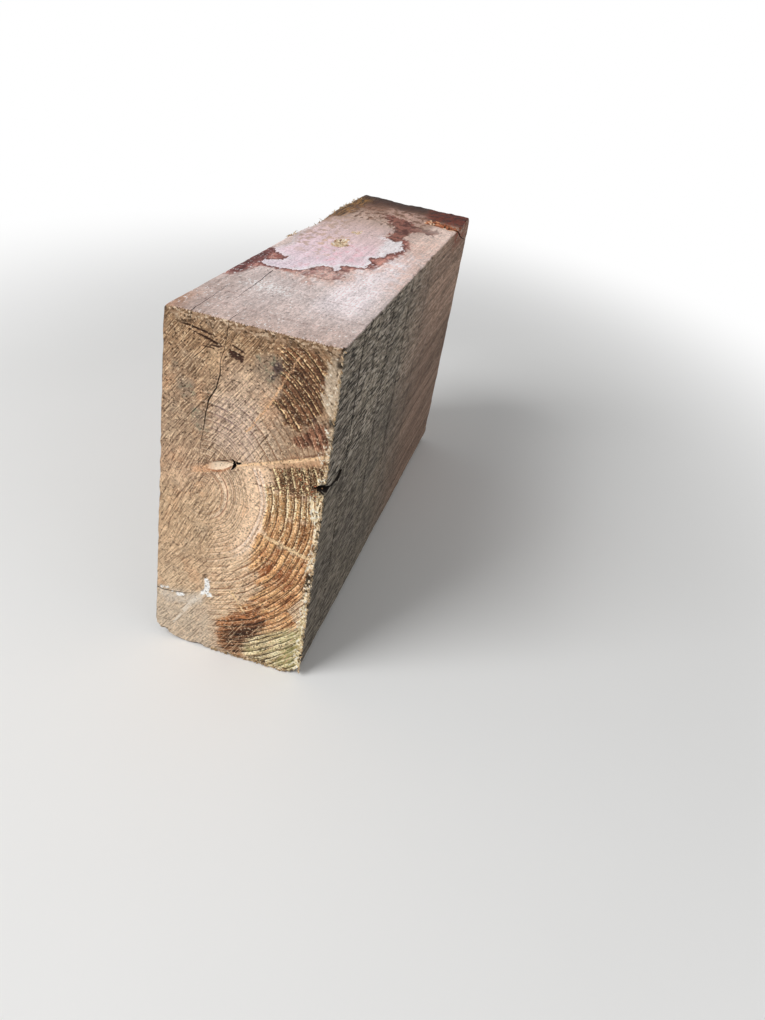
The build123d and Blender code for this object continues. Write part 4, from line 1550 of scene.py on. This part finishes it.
def top_face_material(net, looks):
    """The top face: pinkish pale wood with dirt, a pale patch in a dark red-brown rim, a brown
    stain, a red far end whose last stretch is darkened by painted shade, and bare yellow wood where
    splinters are torn out."""
    place = net.group("beam_places")
    point, across, along = place.point, place.across, place.along
    broad = net.noise(point, 40.0, 2.0, seed=11.0)
    patchy = net.noise(point, (8.0, 14.0, 8.0), 4.0, 0.55, seed=12.0)
    clouds = net.noise(point, (16.0, 36.0, 16.0), 3.0, 0.5, seed=16.0)
    shrunk = net.vector("MULTIPLY", point, (1.0, 0.42, 1.0))
    mottle = net.group("mottle", Point=shrunk, Cell=1.2, Swing=0.5, Seed=13.0)
    grain = net.group("fibre_grain", Point=point, Length=60.0, Seed=2.0)
    colour = top_ground(net, looks, place, broad, patchy, grain)
    colour.lit(net.step(clouds, 0.38, 0.62, 0.9, 1.08))
    blotch = net.noise(point, (5.0, 12.0, 5.0), 2.0, 0.6, seed=34.0)
    dirty = net.times(net.step(blotch, 0.46, 0.38), net.between(along, 350, 480, 20),
                      net.step(across, 110, 90))
    colour.over((104, 74, 56), dirty, 0.8)
    inside = top_patch(net, colour, place, broad, patchy, grain)
    colour.lit(net.step(grain.fine, 0.35, 0.65, 0.93, 1.06))
    ribbon = net.noise(point, (2.6, 120.0, 5.0), 2.0, 0.5, seed=29.0)
    colour.sway(ribbon, 0.6, net.rest(net.times(inside, 0.6)))
    colour.lit(net.pick(net.times(inside, 0.3), mottle.light, 1.0))

    crumbs = net.stain("orange_crumbs", 24.0, 1.6, patchy)
    chunk = net.total(net.times(net.grains(point, (3.2, 8.0, 3.0), 4.0), 0.6),
                      net.times(net.noise(point, (2.4, 6.0, 3.0), 2.0, 0.6, 18.0), 0.4))
    lump = net.ramp(chunk,
                    [(0.24, (54, 28, 19)), (0.39, (196, 112, 73)), (0.54, (255, 182, 134)),
                     (0.70, (255, 224, 190))])
    colour.over(lump, crumbs, 0.95)
    shred = net.total(net.times(net.grains(point, (1.8, 6.0, 2.0), 5.0), 0.6),
                      net.times(net.noise(point, (2.0, 6.0, 2.0), 2.0, 0.6, 30.0), 0.4))
    for name in ("torn_yellow", "torn_small"):
        torn = net.stain(name, 24.0, 1.2, patchy)
        bare = net.ramp(shred,
                        [(0.24, (92, 56, 38)), (0.38, (206, 158, 114)), (0.54, (248, 214, 172)),
                         (0.68, (255, 250, 236))])
        colour.over(bare, torn, 0.94)

    front = net.step(along, 220, 130, 0.25, 1.0)
    colour.over((128, 102, 94), grain.pore, front, 0.3)
    dirt = net.group("specks", Point=shrunk, Size=1.4, Share=0.34, Seed=1.0)
    dusty = net.times(front, net.step(clouds, 0.62, 0.4, 0.3, 0.8), net.step(along, 60, 20, 1.0, 0.6))
    colour.over((84, 64, 56), dirt.speck, dusty)
    chalk = net.times(net.between(across, 26, 66, 8), net.between(along, 80, 102, 8))
    share = net.total(0.42, net.times(chalk, 0.36))
    flecks = net.group("specks", Point=shrunk, Size=1.7, Share=share, Seed=5.0)
    chalky = net.times(net.step(along, 230, 130), net.step(clouds, 0.4, 0.6, 0.5, 0.95))
    colour.over((255, 250, 248), flecks.speck, chalky)
    # Pits along the front edge of the top, painted dark as their shade
    lip = net.times(net.ragged(along, patchy, 8.0, 5.0, 1.5), mottle.pit)
    colour.over((120, 92, 70), lip, 0.7)

    height = net.total(net.times(grain.fine, 0.5), net.times(grain.coarse, 0.5),
                       net.times(mottle.height, 0.4), net.times(inside, 0.2), net.times(dirt.speck, -0.3),
                       net.times(flecks.speck, chalky, 0.3), net.times(crumbs, chunk, 1.5))
    net.surface(colour, net.step(mottle.height, 0.3, 0.7, 0.75, 0.92), height)


def weathered_side_material(net, looks):
    """A long side: grey rough-sawn wood with growth rings, short dashes and long threads along the
    fibres, upright saw cuts, a redder far end and reddish rot by the far top corner of the right
    side. Painted shade darkens it towards the front end; on the right side, painted shadow and damp
    darken it below the side check, and a painted highlight runs along the check's upper lip."""
    place = net.group("beam_places")
    point, across, along, drop = place.point, place.across, place.along, place.drop
    broad = net.noise(point, 46.0, 2.0, seed=21.0)
    patchy = net.noise(point, (9.0, 14.0, 9.0), 3.0, 0.6, seed=24.0)
    dash = net.total(net.times(net.grains(point, (3.0, 9.0, 1.7), 6.0), 0.35),
                     net.times(net.noise(point, (3.0, 9.5, 1.8), 2.0, 0.6, 23.0), 0.65))
    band = net.noise(point, (9.0, 160.0, 5.0), 3.0, 0.6, seed=26.0)
    upright = net.noise(point, (4.0, 4.0, 30.0), 2.0, 0.6, seed=25.0)
    squeezed = net.vector("MULTIPLY", point, (1.0, 0.45, 1.0))
    mottle = net.group("mottle", Point=squeezed, Cell=1.5, Swing=0.7, Seed=22.0)
    grain = net.group("fibre_grain", Point=point, Length=130.0, Seed=6.0)
    rings = net.group("growth_rings", Point=point, Wobble=1.6)
    thread = net.noise(point, (3.0, 260.0, 1.3), 2.0, 0.6, seed=27.0)
    near = net.step(across, 100, 130)
    plain = net.pick(near, 1.0, net.step(along, 150, 330, 0.0, 0.75))
    colour = net.blend(net.step(broad, 0.4, 0.6), looks.side_colour, (150, 139, 124))
    red = net.ragged(along, broad, 110.0, 170, 400)
    colour.over((176, 143, 124), red, 0.8)
    # Below the side check on the right side: partly damp wood, partly painted shadow; it is darkened and its
    # dashes are calmed
    damp_and_shadow = net.times(net.ragged(drop, patchy, 16.0, 108, 128), near)
    rough = net.times(net.step(along, 360, 90, 0.3, 1.0), net.pick(damp_and_shadow, 1.0, 0.6),
                      net.pick(near, 0.22, 1.0))
    colour.sway(dash, 3.2, rough)
    colour.lit(net.total(1.0, net.swing(band, 1.9), net.swing(grain.fine, 1.1)))
    colour.sway(upright, 1.0, net.pick(plain, 1.0, 0.25))
    colour.sway(thread, 1.8, plain)
    colour.sway(rings.tone, 0.22, plain)
    colour.over((98, 76, 62), rings.dark, plain, 0.42)
    # Painted shade: the side a little lighter from 130 to 260 mm along
    colour.lit(net.step(along, 130, 260, 1.0, 1.07))
    colour.lit(net.pick(rough, 1.0, mottle.light))
    colour.over((34, 30, 26), net.step(dash, 0.41, 0.36), rough, 0.7)
    colour.over((222, 212, 198), net.step(dash, 0.6, 0.65), rough, 0.55)
    colour.over((74, 62, 54), grain.pore, 0.4)
    colour.over((206, 194, 178), grain.fleck, 0.25)
    for cut, half, share in SAW_CUTS + FAINT_CUTS:
        sway = net.math("ABSOLUTE", net.total(along, net.swing(patchy, 3.0), -cut))
        line = net.times(net.step(sway, half, 0.4 * half), net.step(patchy, 0.35, 0.6, 0.35, 1.0), near,
                         net.ragged(drop, broad, 120.0, 250, 170))
        colour.over((34, 29, 26), line, share)
    # Painted highlight: a thin light line along the upper lip of the side check, near the front
    lip = net.times(net.between(drop, 112.5, 115.0, 1.0), net.step(along, 160, 90), near)
    colour.over((200, 190, 174), lip, net.step(dash, 0.4, 0.55), 0.65)
    # Painted shadow and damp: darker below the side check
    colour.lit(net.pick(damp_and_shadow, 1.0, 0.76))
    # Painted shade: the side darker towards the front end
    colour.lit(net.step(along, 0, 130, 0.84, 1.0))
    rot = net.times(net.between(along, 425, 530, 14), net.step(drop, 30, 8), near)
    colour.over((150, 82, 62), rot, net.step(patchy, 0.42, 0.54), 0.8)
    arris = net.ragged(drop, patchy, 5.0, 3.0, 0.6)
    colour.over((198, 176, 162), arris, 0.4)
    front = net.times(net.ragged(along, patchy, 7.0, 3.0, 0.8), near)
    colour.over(net.lit((190, 170, 140), mottle.light), front, 0.7)
    height = net.total(net.times(dash, net.pick(near, 0.8, 2.8)), net.times(upright, 0.8),
                       net.times(grain.fine, 0.7), net.times(mottle.height, 0.5))
    net.surface(colour, net.step(mottle.height, 0.3, 0.7, 0.85, 0.98), height, specular=0.2)


def underside_material(net, looks):
    """The underside: moist grey-brown wood, darker in patches."""
    point = net.group("beam_places").point
    patchy = net.noise(point, 22.0, 4.0, 0.6, seed=31.0)
    grain = net.group("fibre_grain", Point=point, Length=50.0, Seed=8.0)
    mottle = net.group("mottle", Point=point, Cell=1.7, Swing=0.6, Seed=32.0)
    colour = net.blend(net.step(patchy, 0.35, 0.65), looks.underside_colour, (142, 122, 102))
    colour.lit(net.step(grain.fine, 0.3, 0.7, 0.85, 1.12))
    colour.lit(mottle.light)
    colour.over((74, 60, 48), grain.pore, 0.5)
    height = net.total(net.times(grain.fine, 0.6), net.times(grain.coarse, 0.6),
                       net.times(mottle.height, 0.6))
    net.surface(colour, 0.92, height)


def shaded_check_wood_material(net, looks):
    """Inside the checks: near-black painted shade over the wood, with lighter grain."""
    grain = net.noise(net.group("beam_places").point, (2.0, 12.0, 5.0), 3.0, 0.6, seed=41.0)
    colour = net.blend(net.step(grain, 0.4, 0.7), looks.check_shade_colour, (40, 29, 21))
    net.surface(colour, 0.92, net.times(grain, 0.6))


def torn_fibre_material(net, looks):
    """Loose fibres and crumbs: from red-brown to straw, by each one's own tone."""
    fine = net.noise(net.group("beam_places").point, (1.0, 3.0, 1.0), 2.0, seed=51.0)
    colour = net.ramp(net.attribute("tone"),
                      [(0.0, (96, 58, 42)), (0.2, (206, 128, 92)), (0.4, (120, 88, 62)),
                       (0.6, (172, 144, 108)), (0.8, looks.fibre_colour), (1.0, (252, 234, 206))])
    colour.lit(net.step(fine, 0.35, 0.65, 0.75, 1.12))
    net.surface(colour, 0.85, net.times(fine, 0.2))


def floor_material(net, looks):
    """Pale plain floor that keeps the beam's shadow. Away from the beam it turns into plain white
    for the camera, so that no horizon shows."""
    place = net.add("ShaderNodeTexCoord").outputs["Object"]
    mottle = net.noise(net.vector("MULTIPLY", place, (1 / MM, 1 / MM, 1 / MM)), 300.0, 3.0, seed=61.0)
    colour = net.blend(net.step(mottle, 0.3, 0.7), looks.floor_colour, looks.floor_colour * 0.985)
    away = net.length(net.vector("MULTIPLY", place, (1.0, 0.62, 1.0)))
    path = net.add("ShaderNodeLightPath").outputs
    seen = net.most(path["Is Glossy Ray"], path["Is Transmission Ray"])
    seen = net.most(path["Is Camera Ray"], seen)
    glow = net.fill(net.add("ShaderNodeEmission"), {"Color": WHITE, "Strength": 1.0})
    faded = net.step(away, looks.floor_reach, 2.6 * looks.floor_reach)
    net.show(net.fill(net.add("ShaderNodeMixShader"),
                      {0: net.times(seen, faded), 1: net.shader(colour, 0.9, 0.0), 2: glow}))


MAKERS = {
    "end_grain": end_grain_material,
    "far_end_grain": far_end_grain_material,
    "top_face": top_face_material,
    "weathered_side": weathered_side_material,
    "underside": underside_material,
    "shaded_check_wood": shaded_check_wood_material,
    "torn_fibre": torn_fibre_material,
    "studio_floor": floor_material,
}


def colour_property(name, description, red, green, blue):
    """A colour setting with its default given as it is seen, 0 to 255 a channel."""
    return bpy.props.FloatVectorProperty(name=name, description=description, default=srgb(red, green, blue),
                                         min=0, max=1, subtype="COLOR")


class BeamSettings(bpy.types.PropertyGroup):
    """Sizes and colours of the beam's surface that a user would change."""

    shade_angle: bpy.props.FloatProperty(
        name="Smooth angle", description="Faces that meet at less than this are shaded as one",
        default=math.radians(50), min=0, max=math.pi, subtype="ANGLE", unit="ROTATION")
    fibre_thickness: bpy.props.FloatProperty(
        name="Fibre thickness", description="Scale of the loose fibres' thickness",
        default=1.0, min=0.2, max=3.0, subtype="FACTOR")
    end_upper: colour_property("End, upper part", "Ground colour of the weathered end near the top", 172,
                               142, 115)
    end_lower: colour_property("End, lower part", "Ground colour of the weathered end below the heart", 201,
                               168, 135)
    top_colour: colour_property("Top", "Ground colour of the top face", 222, 206, 202)
    side_colour: colour_property("Sides", "Ground colour of the long sides", 134, 124, 112)
    underside_colour: colour_property("Underside", "Ground colour of the underside", 112, 92, 74)
    # Near-black painted shade inside the checks
    check_shade_colour: colour_property("Checks", "Dark colour inside the checks", 24, 17, 13)
    fibre_colour: colour_property("Fibres", "Colour of the pale loose fibres", 208, 178, 138)


class StageSettings(bpy.types.PropertyGroup):
    """The camera, the lamps and the floor."""

    camera_place: bpy.props.FloatVectorProperty(
        name="Camera place", description="Where the camera stands, in the beam's frame",
        default=(0.2014, -0.7922, 0.5160), subtype="TRANSLATION", unit="LENGTH", precision=4)
    camera_turn: bpy.props.FloatVectorProperty(
        name="Camera turn", description="The camera's rotation about X, Y and Z",
        default=(math.radians(58.300), math.radians(-9.231), math.radians(14.887)),
        subtype="EULER", unit="ROTATION")
    camera_lens: bpy.props.FloatProperty(name="Lens", description="Focal length in mm on a 36 mm frame",
                                         default=29.0136, min=10, unit="CAMERA")
    key_strength: bpy.props.FloatProperty(
        name="Key light", description="Power of the large soft lamp at the front left", default=72.0, min=0,
        subtype="POWER", unit="POWER")
    sky_strength: bpy.props.FloatProperty(
        name="Sky light", description="Strength of the even light from all round", default=0.34, min=0)
    floor_colour: colour_property("Floor", "Colour of the plain pale floor", 243, 243, 242)
    floor_reach: bpy.props.FloatProperty(name="Floor reach",
                                         description="Distance at which the floor starts to fade into white",
                                         default=0.42, min=0.1, subtype="DISTANCE", unit="LENGTH")


def adopt(piece, *nodes):
    """Rides a piece on the beam's body and says which nodes it replaces."""
    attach(piece, BODY)
    if nodes:
        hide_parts(*nodes)


class TIMBER_OT_skin(bpy.types.Operator):
    """Builds the beam's skin with its checks cut in, its stains and its finishes"""

    bl_idname = "timber.skin"
    bl_label = "Beam skin"

    def execute(self, context):
        looks = context.scene.timber_beam
        for build in GROUPS:
            build()
        materials = [new_material(name, looks) for name in FINISHES]
        points, quads, triangles = box_skin()
        middles = points[triangles].mean(axis=1)
        closest = np.argmin(np.stack([depths_under(middles)[name] for name in FACES]), axis=0)
        face_finish = np.array([FINISHES.index(FACES[name][2]) for name in FACES])
        faces = [face for block, _ in quads for face in block.tolist()] + triangles.tolist()
        on_quads = [np.full(len(block), number) for block, number in quads]
        finish = np.concatenate(on_quads + [face_finish[closest]])
        skin = new_object("beam_skin", worn(points), faces, materials, finish.astype(np.int32))
        faced_outwards(skin.data)
        cut_checks(skin, materials)
        give_stains(skin.data)
        skin.data.set_sharp_from_angle(angle=looks.shade_angle)
        adopt(skin, NODE)
        return {"FINISHED"}


class TIMBER_OT_fibres(bpy.types.Operator):
    """Scatters the loose fibres and crumbs over the torn arrises and hollows"""

    bl_idname = "timber.fibres"
    bl_label = "Torn fibres"

    def execute(self, context):
        looks = context.scene.timber_beam
        places, ways, lengths, radii, tones = loose_fibres()
        points, faces = slivers(places, ways, lengths, radii * looks.fibre_thickness, SEED + 1)
        points = np.clip(points, 0.05, np.array([WIDTH, LENGTH, HEIGHT]) - 0.05)
        fibres = new_object("torn_fibres", points, faces, [new_material("torn_fibre", looks)])
        faced_outwards(fibres.data)
        draw = np.random.default_rng(SEED + 2)
        tone = np.repeat(np.clip(tones + draw.normal(0, 0.12, len(tones)), 0, 1), 9)
        give_attribute(fibres.data, "tone", tone)
        adopt(fibres)
        return {"FINISHED"}


class TIMBER_OT_stage(bpy.types.Operator):
    """Sets the camera, the lamps, the sky and the pale floor"""

    bl_idname = "timber.stage"
    bl_label = "Studio stage"

    def execute(self, context):
        scene = context.scene
        looks = scene.timber_stage
        scene.view_settings.view_transform = "Standard"
        lens = bpy.data.cameras.new("photo_camera")
        lens.lens = looks.camera_lens
        lens.sensor_width = FRAME_WIDTH
        lens.clip_start = 0.01
        camera = linked("photo_camera", lens)
        camera.location = looks.camera_place
        camera.rotation_euler = Euler(looks.camera_turn)
        scene.camera = camera

        for name, place, aim, size, share in (
                ("key_lamp", (-1.5, -1.9, 2.3), (0, 0, 0.2), 1.6, 1.0),
                ("fill_lamp", (1.9, -1.2, 1.4), (0, 0, 0.2), 2.0, 0.06)):
            lamp = bpy.data.lights.new(name, "AREA")
            lamp.size = size
            lamp.energy = looks.key_strength * share
            holder = linked(name, lamp)
            holder.location = place
            holder.rotation_euler = (Vector(aim) - Vector(place)).to_track_quat("-Z", "Y").to_euler()

        world = bpy.data.worlds.new("studio_sky")
        world.use_nodes = True
        world.node_tree.nodes.clear()
        net = Nodes(world.node_tree)
        path = net.add("ShaderNodeLightPath").outputs
        shown = net.most(path["Is Camera Ray"], path["Is Glossy Ray"])
        strength = net.pick(shown, looks.sky_strength, 1.0)
        sky = net.fill(net.add("ShaderNodeBackground"), {"Color": WHITE, "Strength": strength})
        net.give(net.add("ShaderNodeOutputWorld").inputs["Surface"], sky)
        scene.world = world

        half = FLOOR_HALF
        corners = [(-half, -half, 0), (half, -half, 0), (half, half, 0), (-half, half, 0)]
        mesh = bpy.data.meshes.new("studio_floor")
        mesh.from_pydata(corners, [], [(0, 1, 2, 3)])
        mesh.materials.append(new_material("studio_floor", looks))
        floor = linked("studio_floor", mesh)
        return {"FINISHED"}


class TIMBER_PT_panel(bpy.types.Panel):
    """Lists the beam's settings and its parts in the 3D view's sidebar"""

    bl_idname = "TIMBER_PT_panel"
    bl_label = "Timber beam"
    bl_space_type = "VIEW_3D"
    bl_region_type = "UI"
    bl_category = "Timber"

    def draw(self, context):
        layout = self.layout
        for settings in (context.scene.timber_beam, context.scene.timber_stage):
            box = layout.box()
            for name in settings.__annotations__:
                box.prop(settings, name)
        for operator in OPERATORS:
            layout.operator(operator.bl_idname)


OPERATORS = (TIMBER_OT_skin, TIMBER_OT_fibres, TIMBER_OT_stage)
CLASSES = (BeamSettings, StageSettings, *OPERATORS, TIMBER_PT_panel)


def register():
    """Registers the classes and hangs the settings on the scene."""
    for part in CLASSES:
        bpy.utils.register_class(part)
    bpy.types.Scene.timber_beam = bpy.props.PointerProperty(type=BeamSettings)
    bpy.types.Scene.timber_stage = bpy.props.PointerProperty(type=StageSettings)


def unregister():
    """Takes away what register added."""
    del bpy.types.Scene.timber_stage
    del bpy.types.Scene.timber_beam
    for part in reversed(CLASSES):
        bpy.utils.unregister_class(part)


def main():
    """Registers the add-on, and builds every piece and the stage."""
    register()
    bpy.ops.timber.skin()
    bpy.ops.timber.fibres()
    bpy.ops.timber.stage()


if __name__ == "__main__":
    main()
